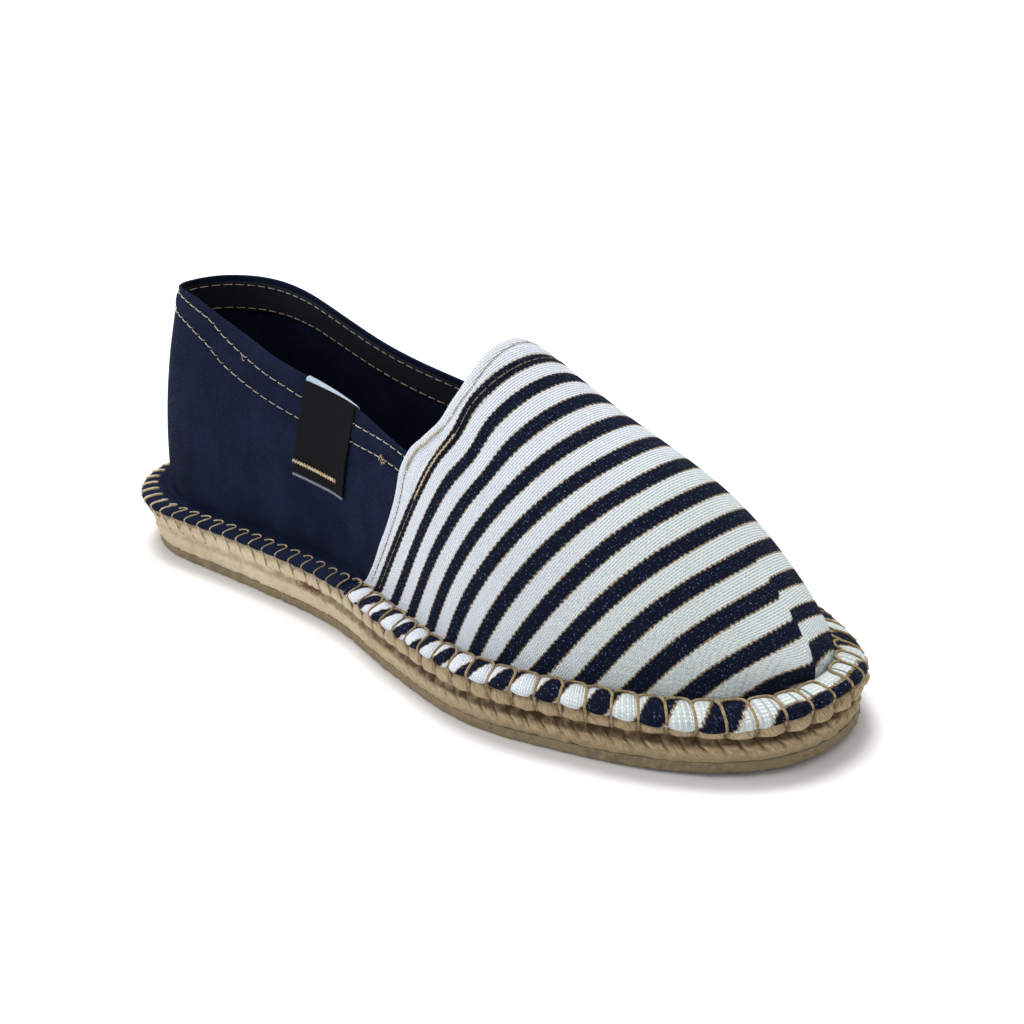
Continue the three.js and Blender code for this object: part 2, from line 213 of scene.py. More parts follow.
def put(tree, kind, values=None, **settings):
    """Adds a node. A value that is a socket is linked, any other is set."""
    node = tree.nodes.new(kind)
    for name, value in settings.items():
        setattr(node, name, value)
    for name, value in (values or {}).items():
        if isinstance(value, bpy.types.NodeSocket):
            tree.links.new(value, node.inputs[name])
        else:
            node.inputs[name].default_value = value
    return node


def sums(tree, operation, *values):
    """A Math node's result."""
    return put(tree, "ShaderNodeMath", dict(enumerate(values)), operation=operation).outputs[0]


def ramp(tree, value, low, high, start=0.0, end=1.0):
    """Value between low and high, smoothly turned into start to end."""
    node = put(
        tree, "ShaderNodeMapRange",
        {"Value": value, "From Min": low, "From Max": high, "To Min": start, "To Max": end},
        interpolation_type="SMOOTHSTEP",
    )
    return node.outputs["Result"]


def tint(tree, share, first, second):
    """Colour between two, by a share."""
    node = put(tree, "ShaderNodeMix", {"Factor": share}, data_type="RGBA")
    for socket, value in ((node.inputs[6], first), (node.inputs[7], second)):
        if isinstance(value, bpy.types.NodeSocket):
            tree.links.new(value, socket)
        else:
            socket.default_value = value
    return node.outputs[2]


def srgb(red, green, blue):
    """A colour from its screen values, 0 to 255."""
    return tuple((c / 255 / 12.92 if c < 11 else ((c / 255 + 0.055) / 1.055) ** 2.4)
                 for c in (red, green, blue)) + (1.0,)


def noise_at(tree, vector, scale, detail=2.0, rough=0.5):
    values = {"Vector": vector, "Scale": scale, "Detail": detail, "Roughness": rough}
    return put(tree, "ShaderNodeTexNoise", values).outputs["Fac"]


def start_group(name, inputs, outputs):
    """A node group with named inputs and outputs. Inputs are (name, kind, value)."""
    group = bpy.data.node_groups.new(name, "ShaderNodeTree")
    for label, kind, value in inputs:
        socket = group.interface.new_socket(label, in_out="INPUT", socket_type=kind)
        if value is not None:
            socket.default_value = value
    for label, kind in outputs:
        group.interface.new_socket(label, in_out="OUTPUT", socket_type=kind)
    return group, put(group, "NodeGroupInput").outputs


def end_group(group, **results):
    put(group, "NodeGroupOutput", results)
    return group


def place_group(tree, group, **values):
    return put(tree, "ShaderNodeGroup", values, node_tree=group).outputs


def start_material(name):
    material = bpy.data.materials.new(name)
    material.use_nodes = True
    tree = material.node_tree
    return material, tree, tree.nodes["Principled BSDF"]


def place_in_shoe(tree):
    return put(tree, "ShaderNodeTexCoord").outputs["Object"]


def paint(tree, shader, colour):
    tree.links.new(colour, shader.inputs["Base Color"])


def bump(tree, shader, height, distance):
    """Raises the surface by a height from 0 to 1, over a distance in metres."""
    normal = put(tree, "ShaderNodeBump", {"Height": height, "Distance": distance})
    tree.links.new(normal.outputs["Normal"], shader.inputs["Normal"])


# Slow blotches, as handling and light wear leave them
wear, given = start_group(
    "wear", [("Vector", "NodeSocketVector", None), ("Size", "NodeSocketFloat", 0.02)],
    [("Blotch", "NodeSocketFloat"), ("Speck", "NodeSocketFloat")],
)
wear_scale = sums(wear, "DIVIDE", 1.0, given["Size"])
blotch = noise_at(wear, given["Vector"], wear_scale, 4.0, 0.6)
speck = noise_at(wear, given["Vector"], sums(wear, "MULTIPLY", wear_scale, 16.0), 2.0, 0.7)
end_group(wear, Blotch=ramp(wear, blotch, 0.3, 0.7), Speck=ramp(wear, speck, 0.35, 0.75))


RUBBER_FOOT = 0.3
RUBBER_TOP = 2.9
# From the middle of the underside, round the rim, to the middle of the top: height and outset in
# mm, and the share of the sole's half width
RUBBER_SECTION = [(RUBBER_FOOT, -1.2, share) for share in (0, 0.3, 0.6, 0.85, 0.97, 1)]
RUBBER_SECTION += [
    (0, -0.9, 1), (0, -0.1, 1), (0.25, 0.2, 1), (0.8, 0.3, 1), (1.3, 0.05, 1), (1.9, 0, 1),
    (2.5, 0, 1), (2.8, -0.2, 1), (RUBBER_TOP, -0.8, 1),
]
RUBBER_SECTION += [(RUBBER_TOP, -1, share) for share in (0.97, 0.6, 0.3, 0)]


def rubber_rim(walk, level):
    z, outset, share = level
    turn = turn_after(walk)
    outset -= foot_inset(along_of(turn), z)
    if share < 1:
        return cap_point(turn, outset, z, share), (walk, z)
    rough = 0.3 * noise.noise(Vector((walk * 0.9, z * 2, 4)))
    rough += 0.25 * noise.noise(Vector((walk * 0.2, 0, 8)))
    point = edge_point(turn, outset + rough, z)
    if z < 1:
        point.z = max(0, point.z + 0.12 * noise.noise(Vector((walk * 1.3, 2, 1))))
    return point, (walk, z)


bm = lay_sheet(steps(-HALF_ROUND, HALF_ROUND, 640), RUBBER_SECTION, rubber_rim)
bmesh.ops.recalc_face_normals(bm, faces=bm.faces)
for face in bm.faces:
    ceiling = RUBBER_FOOT * MM + lift(face.verts[0].co.x / MM) * MM
    underneath = face.calc_center_median().z < ceiling
    face.material_index = 1 if underneath and face.normal.z < -0.9 else 0

rubber, tree, shader = start_material("khaki rubber")
spot = place_in_shoe(tree)
worn = place_group(tree, wear, Vector=spot, Size=0.03)
grime = tint(tree, worn["Speck"], srgb(106, 92, 67), srgb(148, 131, 101))
paint(tree, shader, tint(tree, worn["Blotch"], grime, srgb(130, 114, 85)))
tree.links.new(ramp(tree, worn["Speck"], 0, 1, 0.7, 0.9), shader.inputs["Roughness"])
bump(tree, shader, noise_at(tree, spot, 900.0, 4.0, 0.7), 0.0003)

tread, tree, shader = start_material("rubber tread")
spot = place_in_shoe(tree)
worn = place_group(tree, wear, Vector=spot, Size=0.05)
paint(tree, shader, tint(tree, worn["Blotch"], srgb(150, 130, 100), srgb(170, 150, 118)))
shader.inputs["Roughness"].default_value = 0.8
ribs = put(
    tree, "ShaderNodeTexWave", {"Vector": spot, "Scale": 75.0, "Distortion": 0.0},
    wave_type="BANDS", bands_direction="DIAGONAL",
)
bump(tree, shader, ribs.outputs["Fac"], 0.0008)

outsole = make_piece("rubber_outsole", bm, "rubber", rubber, tread)
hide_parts("outsole")

# Jute sole
# Two rows of plaited jute stitched into a slab. The upper row is drawn in under each stitch of
# the upper, the lower one shows the plait's slanting strands, and both are cleaner at the heel.

JUTE_BASE = RUBBER_TOP
JUTE_HEIGHT = 12.2
GROOVE = 9.0  # height of the groove between the rows, mm
STITCHES = 93  # blanket stitches round the whole shoe
STITCH_GROWTH = 0.3  # how much further apart they stand at the toe than at the heel, as a share
STITCH_SHIFT = 0.25  # the stitches start this share of a stitch off the middle of the heel
STRANDS = 1.5  # slanting strands of the lower row to each stitch
STRAND_SLANT = 0.17  # strands passed for each mm of height

# How far the rows stand out, by the share of the height, mm
JUTE_OUTSET = (
    (0, -0.2), (0.07, 0), (0.17, 0.05), (0.3, 0), (0.42, -0.35), (0.5, -1.1), (0.58, -0.35),
    (0.7, 0), (0.8, -0.15), (0.88, -0.6), (1, -1.9),
)
# How far the upper's turned-out rim is drawn down over the jute, by the place along, mm
RIM_FALL = (
    (0, 0), (0.6, 0), (0.775, 0.4), (0.855, 1.3), (0.9, 2.4), (0.935, 3.1), (0.96, 3.3),
    (0.985, 2.2), (1, 1.2),
)


def stitch_number(walk):
    """Counts stitches from the heel. They stand 6 mm apart there and nearly 8 mm at the toe."""
    most = math.log(1 + STITCH_GROWTH)
    share = math.log(1 + STITCH_GROWTH * abs(walk) / HALF_ROUND) / most
    return math.copysign(share * STITCHES / 2, walk) + STITCH_SHIFT


def stitch_walk(number):
    """The place of a stitch, as a distance round the outline."""
    counted = number - STITCH_SHIFT
    share = abs(counted) / (STITCHES / 2)
    grown = ((1 + STITCH_GROWTH) ** share - 1) / STITCH_GROWTH
    return math.copysign(grown * HALF_ROUND, counted)


def between(number):
    """0 at a stitch and 1 midway to the next, in a round hump."""
    part = abs((number + 0.5) % 1 - 0.5) * 2
    return math.sqrt(max(0, 1 - (1 - part) ** 2))


def jute_outset(walk, z, along):
    """How far the jute stands out from the outline, with its lobes and strands."""
    rise = (z - JUTE_BASE) / JUTE_HEIGHT
    number = stitch_number(walk)
    coarse = 0.3 + 0.7 * blend(along, 0.3, 0.6)
    upper = blend(rise, 0.48, 0.6)
    lower = (1 - upper) * blend(rise, 0.02, 0.14) * (1 - blend(rise, 0.4, 0.5))
    pull = 0.3 * read(RIM_FALL, along) * upper * (1 - blend(along, 0.9, 0.96))
    pull -= 1.2 * blend(along, 0.9, 0.98) * upper * (1 - blend(rise, 0.85, 1))
    lobe = mix(1.5, 2.4, blend(along, 0.85, 0.95)) * upper * (1 - blend(rise, 0.9, 1))
    slant = abs(number) * STRANDS + (z - 6) * STRAND_SLANT
    strand = (between(slant) - 0.6) * 1.2 * lower * blend(z, 4, 7)
    crumple = noise.fractal(Vector((walk * 0.35, z * 0.5, 3)), 0.8, 2.0, 3) * 0.5
    heel_foot = (1 - blend(along, 0.2, 0.5)) * (1 - blend(rise, 0.6, 0.9)) * blend(rise, 0.1, 0.3)
    deep = 1.4 - 0.7 * heel_foot + 0.7 * blend(along, 0.6, 0.85) * dent(rise - 0.5, 0.12)
    rows = deep * read(JUTE_OUTSET, rise)
    return rows + coarse * ((between(number) - 0.6) * lobe + strand) + crumple - pull


def jute_side(walk, level):
    z, share = level
    turn = turn_after(walk)
    along = along_of(turn)
    if share < 1:
        return cap_point(turn, -4, z, share), (walk, z), (stitch_number(walk), along)
    point = edge_point(turn, jute_outset(walk, z, along) - foot_inset(along, z), z)
    return point, (walk, z), (stitch_number(walk), along)


jute_levels = [(JUTE_BASE, share) for share in (0, 0.5, 0.99)]
jute_levels += [(z, 1) for z in steps(JUTE_BASE, JUTE_BASE + JUTE_HEIGHT, 30)]
jute_levels += [(JUTE_BASE + JUTE_HEIGHT, share) for share in (0.99, 0.5, 0)]
bm = lay_sheet(steps(-HALF_ROUND, HALF_ROUND, 1120), jute_levels, jute_side)
bmesh.ops.recalc_face_normals(bm, faces=bm.faces)


def plus(tree, first, second):
    return sums(tree, "ADD", first, second)


def less(tree, first, second):
    return sums(tree, "SUBTRACT", first, second)


def times(tree, first, second):
    return sums(tree, "MULTIPLY", first, second)


def size_of(tree, value):
    return sums(tree, "ABSOLUTE", value)


def off_half(tree, value, shift):
    """0 where value and shift make a whole number and a half, and 0.5 at each whole number."""
    return size_of(tree, less(tree, sums(tree, "FRACT", plus(tree, value, shift)), 0.5))


def stretch(tree, vector, factors):
    """The vector, multiplied along each axis."""
    values = {0: vector, 1: factors}
    return put(tree, "ShaderNodeVectorMath", values, operation="MULTIPLY").outputs[0]


def moved(tree, vector, **values):
    """The vector, moved by a Location, turned by a Rotation or grown by a Scale."""
    return put(tree, "ShaderNodeMapping", {"Vector": vector, **values}).outputs[0]


def parts_of(tree, vector):
    return put(tree, "ShaderNodeSeparateXYZ", {0: vector}).outputs


def map_of(tree, name):
    """The piece's own map: its cloth in mm, or its pattern."""
    return put(tree, "ShaderNodeUVMap", uv_map=name).outputs["UV"]


def matt(shader, roughness, gloss):
    shader.inputs["Roughness"].default_value = roughness
    shader.inputs["Specular IOR Level"].default_value = gloss


# Bast fibres, long threads of slightly different tones that lie along the X of the vector
fibres, given = start_group(
    "bast fibres", [("Vector", "NodeSocketVector", None), ("Fineness", "NodeSocketFloat", 3.0)],
    [("Height", "NodeSocketFloat"), ("Tone", "NodeSocketFloat")],
)
drawn_out = stretch(fibres, given["Vector"], (0.16, 1.0, 1.0))
fine = noise_at(fibres, drawn_out, given["Fineness"], 5.0, 0.65)
coarse = noise_at(fibres, drawn_out, times(fibres, given["Fineness"], 0.3), 2.0, 0.5)
end_group(
    fibres, Height=plus(fibres, fine, times(fibres, coarse, 0.6)),
    Tone=ramp(fibres, fine, 0.35, 0.68),
)

jute, tree, shader = start_material("plaited jute")
cloth = map_of(tree, "cloth")
stitch_at = parts_of(tree, map_of(tree, "pattern"))
spot = place_in_shoe(tree)
height_mm = parts_of(tree, cloth)["Y"]
forward = ramp(tree, stitch_at["Y"], 0.3, 0.85)

both_sides = put(tree, "ShaderNodeVectorMath", {0: cloth}, operation="ABSOLUTE").outputs[0]
on_upper = ramp(tree, height_mm, GROOVE - 0.8, GROOVE + 0.8)
row_fibres = [
    place_group(tree, fibres, Vector=moved(tree, both_sides, Rotation=(0, 0, angle)), Fineness=3.2)
    for angle in (0.85, 1.15)
]


def by_row(name):
    """The lower row's fibres below the groove, and the upper row's above it."""
    values = {"Factor": on_upper, 2: row_fibres[0][name], 3: row_fibres[1][name]}
    return put(tree, "ShaderNodeMix", values, data_type="FLOAT").outputs[0]


fibre_height = by_row("Height")
fibre_tone = by_row("Tone")
worn = place_group(tree, wear, Vector=spot, Size=0.022)
pale = tint(tree, fibre_tone, srgb(232, 210, 172), srgb(252, 238, 208))
tan = tint(tree, fibre_tone, srgb(158, 134, 96), srgb(220, 198, 160))
colour = tint(tree, forward, pale, tan)
colour = tint(tree, times(tree, worn["Blotch"], 0.3), colour, srgb(180, 154, 114))

# Painted shade darkens the groove between the rows, the nips under the stitches, and the gaps
# between the lower row's strands
wander = noise_at(tree, moved(tree, cloth, Scale=(0.25, 0.5, 1)), 1.0, 4.0)
groove_height = plus(tree, GROOVE - 1.8, times(tree, wander, 2.0))
groove_gap = size_of(tree, less(tree, height_mm, groove_height))
patchy = ramp(tree, wander, 0.3, 0.6, 0.4, 1.0)
groove_shade = times(tree, ramp(tree, groove_gap, 0.2, 1.6, 1.0, 0.0), patchy)
groove_shade = times(tree, groove_shade, ramp(tree, stitch_at["Y"], 0.1, 0.7, 0.2, 0.95))
colour = tint(tree, groove_shade, colour, srgb(74, 50, 29))
# Painted shade: brown in the nips where each stitch draws the upper row in
nip = off_half(tree, stitch_at["X"], 0.5)
nip_shade = times(tree, ramp(tree, nip, 0.02, 0.18, 0.75, 0.0), on_upper)
colour = tint(tree, times(tree, nip_shade, forward), colour, srgb(88, 64, 38))
# Painted shade: brown in the gaps between the lower row's slanting strands
strand = times(tree, size_of(tree, stitch_at["X"]), STRANDS)
strand = plus(tree, strand, times(tree, less(tree, height_mm, 6.0), STRAND_SLANT))
strand = plus(tree, strand, times(tree, wander, 0.35))
gap_shade = ramp(tree, off_half(tree, strand, 0.32), 0.02, 0.16, 0.85, 0.0)
gap_shade = times(tree, gap_shade, ramp(tree, height_mm, 4.5, 7.5))
gap_shade = times(tree, gap_shade, less(tree, 1.0, on_upper))
colour = tint(tree, times(tree, gap_shade, forward), colour, srgb(82, 58, 34))

# One rust-brown stain sits in the groove on the outer side, in front of the heel, at these mm
STAIN_WALK = -119.0
STAIN_HEIGHT = 9.2
from_stain = moved(tree, cloth, Location=(-STAIN_WALK, -STAIN_HEIGHT, 0), Scale=(1, 1, 0))
from_stain = stretch(tree, from_stain, (0.1, 0.55, 0))
stain_far = put(tree, "ShaderNodeVectorMath", {0: from_stain}, operation="LENGTH").outputs["Value"]
stain_rough = less(tree, noise_at(tree, cloth, 0.9, 5.0, 0.7), 0.5)
stain_far = plus(tree, stain_far, times(tree, stain_rough, 2.2))
colour = tint(tree, ramp(tree, stain_far, 0.25, 0.95, 0.95, 0.0), colour, srgb(112, 58, 32))

# Along its foot the jute is soiled and smooth, more so towards the toe
sole_dirt = plus(tree, height_mm, times(tree, wander, 1.6))
sole_dirt = times(tree, ramp(tree, sole_dirt, 4.2, 6.4, 0.9, 0.0), forward)
paint(tree, shader, tint(tree, sole_dirt, colour, srgb(146, 129, 96)))
matt(shader, 0.92, 0.2)
shader.inputs["Sheen Weight"].default_value = 0.08
clear = less(tree, 1.0, times(tree, sole_dirt, 0.85))
bump(tree, shader, times(tree, fibre_height, clear), 0.0011)

jute_sole = make_piece("jute_rows", bm, "jute", jute)
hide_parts("jute_sole")

# Insole
# A pad of canvas-covered board laid on the jute, seen only down inside the shoe. It is pressed a
# little hollow under the heel and the ball of the foot.

SEAT_HEIGHT = 15.4
INSOLE_INSET = 9.2
INSOLE_THICKNESS = 1.0


def insole_top(turn, across):
    along = along_of(turn)
    x = (along - 0.5) * (SOLE_LENGTH - 2 * INSOLE_INSET)
    y = BALL_WIDTH * read(SOLE_CENTRE, along) + across * half_width(along, -INSOLE_INSET)
    hollow = dent(along - 0.15, 0.1) + 0.8 * dent(along - 0.72, 0.12)
    edge = 1 - across ** 4
    uneven = 0.15 * noise.noise(Vector((x * 0.06, y * 0.06, 2)))
    z = SEAT_HEIGHT + 1.5 - 0.7 * hollow * edge + uneven
    return Vector((x, y, z + lift(x))), (x, y)


bm = lay_sheet(steps(0, math.pi, 150), steps(-1, 1, 50), insole_top)

# Plain weave. X and Y of the vector are in threads, and each thread has its own tone.
weave, given = start_group(
    "plain weave", [("Vector", "NodeSocketVector", None)],
    [("Height", "NodeSocketFloat"), ("Tone", "NodeSocketFloat")],
)
parts = parts_of(weave, given["Vector"])
warp = sums(weave, "SINE", times(weave, parts["X"], math.pi))
weft = sums(weave, "SINE", times(weave, parts["Y"], math.pi))
crossing = times(weave, warp, weft)
warp_height = plus(weave, size_of(weave, warp), crossing)
weft_height = less(weave, size_of(weave, weft), crossing)
warp_tone = noise_at(weave, moved(weave, given["Vector"], Scale=(0.9, 0.09, 1)), 1.0, 3.0, 0.7)
weft_tone = noise_at(weave, moved(weave, given["Vector"], Scale=(0.09, 0.9, 1)), 1.0, 3.0, 0.7)
on_top = sums(weave, "GREATER_THAN", warp_height, weft_height)
tones = {"Factor": on_top, 2: weft_tone, 3: warp_tone}
tone = put(weave, "ShaderNodeMix", tones, data_type="FLOAT").outputs[0]
woven = times(weave, sums(weave, "MAXIMUM", warp_height, weft_height), 0.5)
end_group(weave, Height=woven, Tone=tone)


def lay_weave(tree, across, up):
    """The cloth's threads, so many to the mm each way, and their weave."""
    threads = stretch(tree, map_of(tree, "cloth"), (across, up, 0))
    return threads, place_group(tree, weave, Vector=threads)


def thicken(piece, thickness):
    """Gives the sheet a thickness in mm, behind its face."""
    wall = piece.modifiers.new("thickness", "SOLIDIFY")
    wall.thickness = thickness * MM
    wall.offset = -1


insole_cloth, tree, shader = start_material("insole canvas")
threads, woven = lay_weave(tree, 1.7, 1.7)
worn = place_group(tree, wear, Vector=place_in_shoe(tree), Size=0.04)
colour = tint(tree, woven["Tone"], srgb(168, 148, 116), srgb(214, 196, 162))
paint(tree, shader, tint(tree, times(tree, worn["Blotch"], 0.4), colour, srgb(150, 128, 98)))
shader.inputs["Roughness"].default_value = 0.95
bump(tree, shader, woven["Height"], 0.0004)

insole = make_piece("insole_pad", bm, "insole_cloth", insole_cloth)
thicken(insole, INSOLE_THICKNESS)
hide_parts("insole")

# Quarter
# Navy canvas round the heel, one piece from under one side of the vamp to under the other. Its
# top edge is folded in and sewn twice, and its foot is turned out over the jute as a puffed rim.

HEEL_HEIGHT = 64.0
INSTEP_HEIGHT = 73.0
SEAM_INSET = 6.7
HEM_STEP = 0.7
QUARTER_WALL = 1.2
FLANGE_THICKNESS = 1.6
QUARTER_END = 0.51  # how far along the quarter reaches at the crease, under the vamp
COLLAR_END = 0.595  # and how far at the collar

# Height of the collar by the place along the shoe, as a share of the heel's height
COLLAR_OUTER = (
    (0, 1), (0.04, 1.005), (0.1, 1), (0.18, 0.945), (0.3, 0.843), (0.42, 0.747), (0.5, 0.695),
    (0.6, 0.65),
)
COLLAR_INNER = (
    (0, 1), (0.04, 0.995), (0.1, 0.98), (0.18, 0.95), (0.3, 0.838), (0.42, 0.74), (0.5, 0.66),
    (0.6, 0.61),
)
# How far the collar leans in over the foot of the quarter, as a share of the heel's height
LEAN_OUTER = (
    (0, 0.13), (0.04, 0.165), (0.1, 0.185), (0.18, 0.14), (0.3, 0.075), (0.42, 0.1), (0.5, 0.14),
    (0.6, 0.2),
)
LEAN_INNER = (
    (0, 0.13), (0.04, 0.075), (0.1, 0.045), (0.18, 0.05), (0.3, 0.075), (0.42, 0.1), (0.5, 0.12),
    (0.6, 0.18),
)
# Height of the ridge as a share of the instep's height
RIDGE = (
    (0.4, 1), (0.5, 1.005), (0.6, 0.97), (0.65, 0.882), (0.7, 0.792), (0.8, 0.636), (0.9, 0.455),
    (1, 0.23),
)
SIDE_POWER = 2.14  # how square the arch over the foot is at its sides
TOP_POWER = 1.8  # and how round over its ridge

# Section of the turned-out rim, by the place down it: 0 is the crease, 1 its lower edge, and
# RIM_END a little way under. OUT is in seam insets and RISE in thicknesses, DROP says how much of
# the rim's fall is felt there, and SWELL how much the cloth then stands out.
RIM_START = 0.06
RIM_END = 1.3
RIM_OUT = (
    (0, -1), (0.22, -0.72), (0.45, -0.3), (0.65, 0.02), (0.8, 0.14), (0.95, 0.13), (1.1, 0.03),
    (RIM_END, -0.09),
)
RIM_RISE = (
    (0, 1), (0.22, 1.3), (0.45, 1.22), (0.65, 0.9), (0.8, 0.42), (0.95, 0.05), (1.1, -0.1),
    (RIM_END, 0),
)
RIM_DROP = (
    (0, 0), (0.22, 0.15), (0.45, 0.35), (0.65, 0.6), (0.8, 0.84), (0.95, 1), (1.1, 0.95),
    (RIM_END, 0.5),
)
RIM_SWELL = (
    (0, 0), (0.22, 0), (0.45, 0.4), (0.65, 0.9), (0.8, 1), (0.95, 0.75), (1.1, 0.3), (RIM_END, 0),
)
INNER_FALL = 1.6  # the rim is drawn down this much further round the inner side of the toe, mm


def rim_point(walk, down, raised):
    """The turned-out rim. down is 0 at the crease and 1 at the lower edge, raised is off the cloth."""
    turn = turn_after(walk)
    along = along_of(turn)
    fall = read(RIM_FALL, along)
    if walk > 0:
        fall += INNER_FALL * blend(along, 0.84, 0.92) * (1 - blend(along, 0.97, 1))

    def section(place):
        outset = SEAM_INSET * read(RIM_OUT, place) + 0.12 * fall * read(RIM_SWELL, place)
        z = SEAT_HEIGHT + FLANGE_THICKNESS * read(RIM_RISE, place) - fall * read(RIM_DROP, place)
        return outset, z

    outset, z = section(down)
    before = section(down - 0.03)
    after = section(down + 0.03)
    out = before[1] - after[1]
    up = after[0] - before[0]
    size = math.hypot(out, up)
    return edge_point(turn, outset + raised * out / size, z + raised * up / size)


def puff(walk, down):
    """The rim swells between its stitches and is nipped in under each."""
    number = stitch_number(walk)
    along = along_of(turn_after(walk))
    full = blend(down, 0.02, 0.3) * (1 - blend(down, 1.05, 1.3))
    full *= mix(0.55, 0.5 if walk > 0 else 1, blend(along, 0.42, 0.55))
    uneven = 0.25 * noise.noise(Vector((math.floor(number + 0.5) * 3.7, 5, 1)))
    return full * ((between(number) - 0.7) * (1.1 + uneven))


def arch_height(along, depth):
    """Height of the arch over the foot, on a cloth laid at a depth under the outer one."""
    toe = max(0, (along - 0.8) / 0.2)
    return (INSTEP_HEIGHT * read(RIDGE, along) - depth) * math.sqrt(max(0, 1 - toe * toe))


def arch_inset(along, height, depth):
    share = min(1, max(0, height) / arch_height(along, depth))
    reach = (1 - share ** TOP_POWER) ** (1 / SIDE_POWER)
    return half_width(along, -(SEAM_INSET + depth)) * (1 - reach)


def collar_height(turn):
    return HEEL_HEIGHT * read(COLLAR_OUTER if turn < 0 else COLLAR_INNER, along_of(turn))


def quarter_point(turn, rise, depth):
    """The quarter's cloth. rise is 0 at the crease and 1 at the collar."""
    along = along_of(turn)
    inset = -(SEAM_INSET + depth)
    foot = edge_point(turn, inset, SEAM_HEIGHT)
    height = rise * collar_height(turn)
    dip = 0.4 * math.sin(math.pi * min(1, max(rise, 0) / 0.7))
    lean = read(LEAN_OUTER if turn < 0 else LEAN_INNER, along)
    leaned = HEEL_HEIGHT * lean * rise * rise + dip * (1 - blend(along, 0.04, 0.2))
    inward = mix(leaned, arch_inset(along, height, depth), blend(along, 0.26, 0.46))
    before = edge_point(turn - 0.01, inset, 0)
    after = edge_point(turn + 0.01, inset, 0)
    normal = Vector((after.y - before.y, before.x - after.x, 0)).normalized()
    side = (turn > 0) - (turn < 0)
    direction = normal.lerp(Vector((0, -side, 0)), blend(along, 0.15, 0.35)).normalized()
    point = foot + direction * inward
    point.z = foot.z + height
    return point


# How far the collar's two seams lie below its top edge, mm
SEAM_UPPER = (
    (0, 0.6), (0.045, 1), (0.09, 2), (0.147, 2.1), (0.181, 3.9), (0.217, 5), (0.255, 5.6),
    (0.3, 5.6), (0.337, 5.9), (0.43, 3.8), (0.51, 1), (0.6, 1),
)
SEAM_LOWER = (
    (0, 6.2), (0.045, 6.5), (0.09, 7.8), (0.147, 9.3), (0.181, 11.7), (0.217, 12.7), (0.255, 13),
    (0.3, 12.7), (0.337, 12.3), (0.43, 9), (0.51, 5.5), (0.6, 5),
)


def below_collar(turn, drop, depth):
    """A place on the quarter, so many mm below its top edge."""
    return quarter_point(turn, 1 - drop / collar_height(turn), depth)


def quarter_end(rise):
    return turn_at(mix(QUARTER_END, COLLAR_END, min(1, max(0, rise))))


def quarter_cloth(share, row):
    """One place on the quarter, which runs from the rim up the outside and down the inside."""
    part, value = row
    if part == "rim":
        turn = share * quarter_end(0)
        walk = walk_of(turn)
        covered = blend(along_of(turn), 0.44, 0.47)
        raised = puff(walk, value) * (1 - covered) - 1.5 * covered
        return rim_point(walk, value, raised), (walk, -8 * value)
    rise = 1 if part == "fold" else value
    turn = share * quarter_end(rise)
    walk = walk_of(turn)
    height = collar_height(turn)
    near_end = blend(abs(share), 0.97, 1)
    back = mix(QUARTER_WALL, 0.05, near_end)
    if part == "inside":
        return quarter_point(turn, rise, HEM_STEP + back), (walk, 2 * height - rise * height)
    if part == "fold":
        radius = back / 2
        point = quarter_point(turn, 1, HEM_STEP + radius - radius * math.cos(value))
        point.z += radius * math.sin(value)
        return point, (walk, height + radius * value)
    drop = (1 - rise) * height
    along = along_of(turn)
    upper_seam = read(SEAM_UPPER, along)
    lower_seam = read(SEAM_LOWER, along)
    sunk = 0.35 * dent(drop - upper_seam, 0.9) + 0.35 * dent(drop - lower_seam, 0.9)
    sunk -= 0.3 * blend(drop, upper_seam, upper_seam + 2) * (1 - blend(drop, lower_seam - 2, lower_seam))
    sunk += 0.35 * noise.noise(Vector((walk * 0.02, drop * 0.03, 11))) * blend(rise, 0, 0.15)
    return quarter_point(turn, rise, HEM_STEP + sunk * (1 - near_end)), (walk, rise * height)


quarter_rows = [("rim", down) for down in steps(RIM_END, RIM_START, 20)]
quarter_rows += [("outside", rise) for rise in steps(0, 1, 76)]
quarter_rows += [("fold", bend) for bend in steps(math.pi / 6, math.pi * 5 / 6, 4)]
quarter_rows += [("inside", rise) for rise in steps(1, 0, 24)]
end_walk = walk_of(quarter_end(0))
quarter_shares = [turn_after(walk) / quarter_end(0) for walk in steps(-end_walk, end_walk, 470)]
bm = lay_sheet(quarter_shares, quarter_rows, quarter_cloth)
bmesh.ops.reverse_faces(bm, faces=bm.faces)

# Even canvas in two thread tones, with soft blotches
navy, tree, shader = start_material("navy canvas")
threads, woven = lay_weave(tree, 1.5, 1.5)
worn = place_group(tree, wear, Vector=place_in_shoe(tree), Size=0.012)
share = times(tree, plus(tree, woven["Tone"], worn["Blotch"]), 0.5)
paint(tree, shader, tint(tree, share, srgb(13, 20, 40), srgb(30, 38, 64)))
matt(shader, 0.9, 0.05)
bump(tree, shader, woven["Height"], 0.0003)
quarter = make_piece("quarter", bm, "canvas", navy)
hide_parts("upper")

# Vamp
# White canvas woven with navy stripes edged in ochre. The cut edge at the throat is hemmed, and
# all round the toe the cloth is turned out over the jute and whipped down, so that it puffs.

VAMP_WALL = 1.3

# Where the hem crosses the shoe, by the angle round it from the outer side, degrees
VAMP_HEM = (
    (0, 0.467), (15, 0.511), (25, 0.533), (30, 0.538), (35, 0.541), (41, 0.553), (45, 0.569),
    (52, 0.59), (60, 0.598), (67, 0.602), (81, 0.601), (94, 0.597), (105, 0.592), (115, 0.586),
    (125, 0.576), (135, 0.56), (150, 0.53), (165, 0.503), (180, 0.467),
)

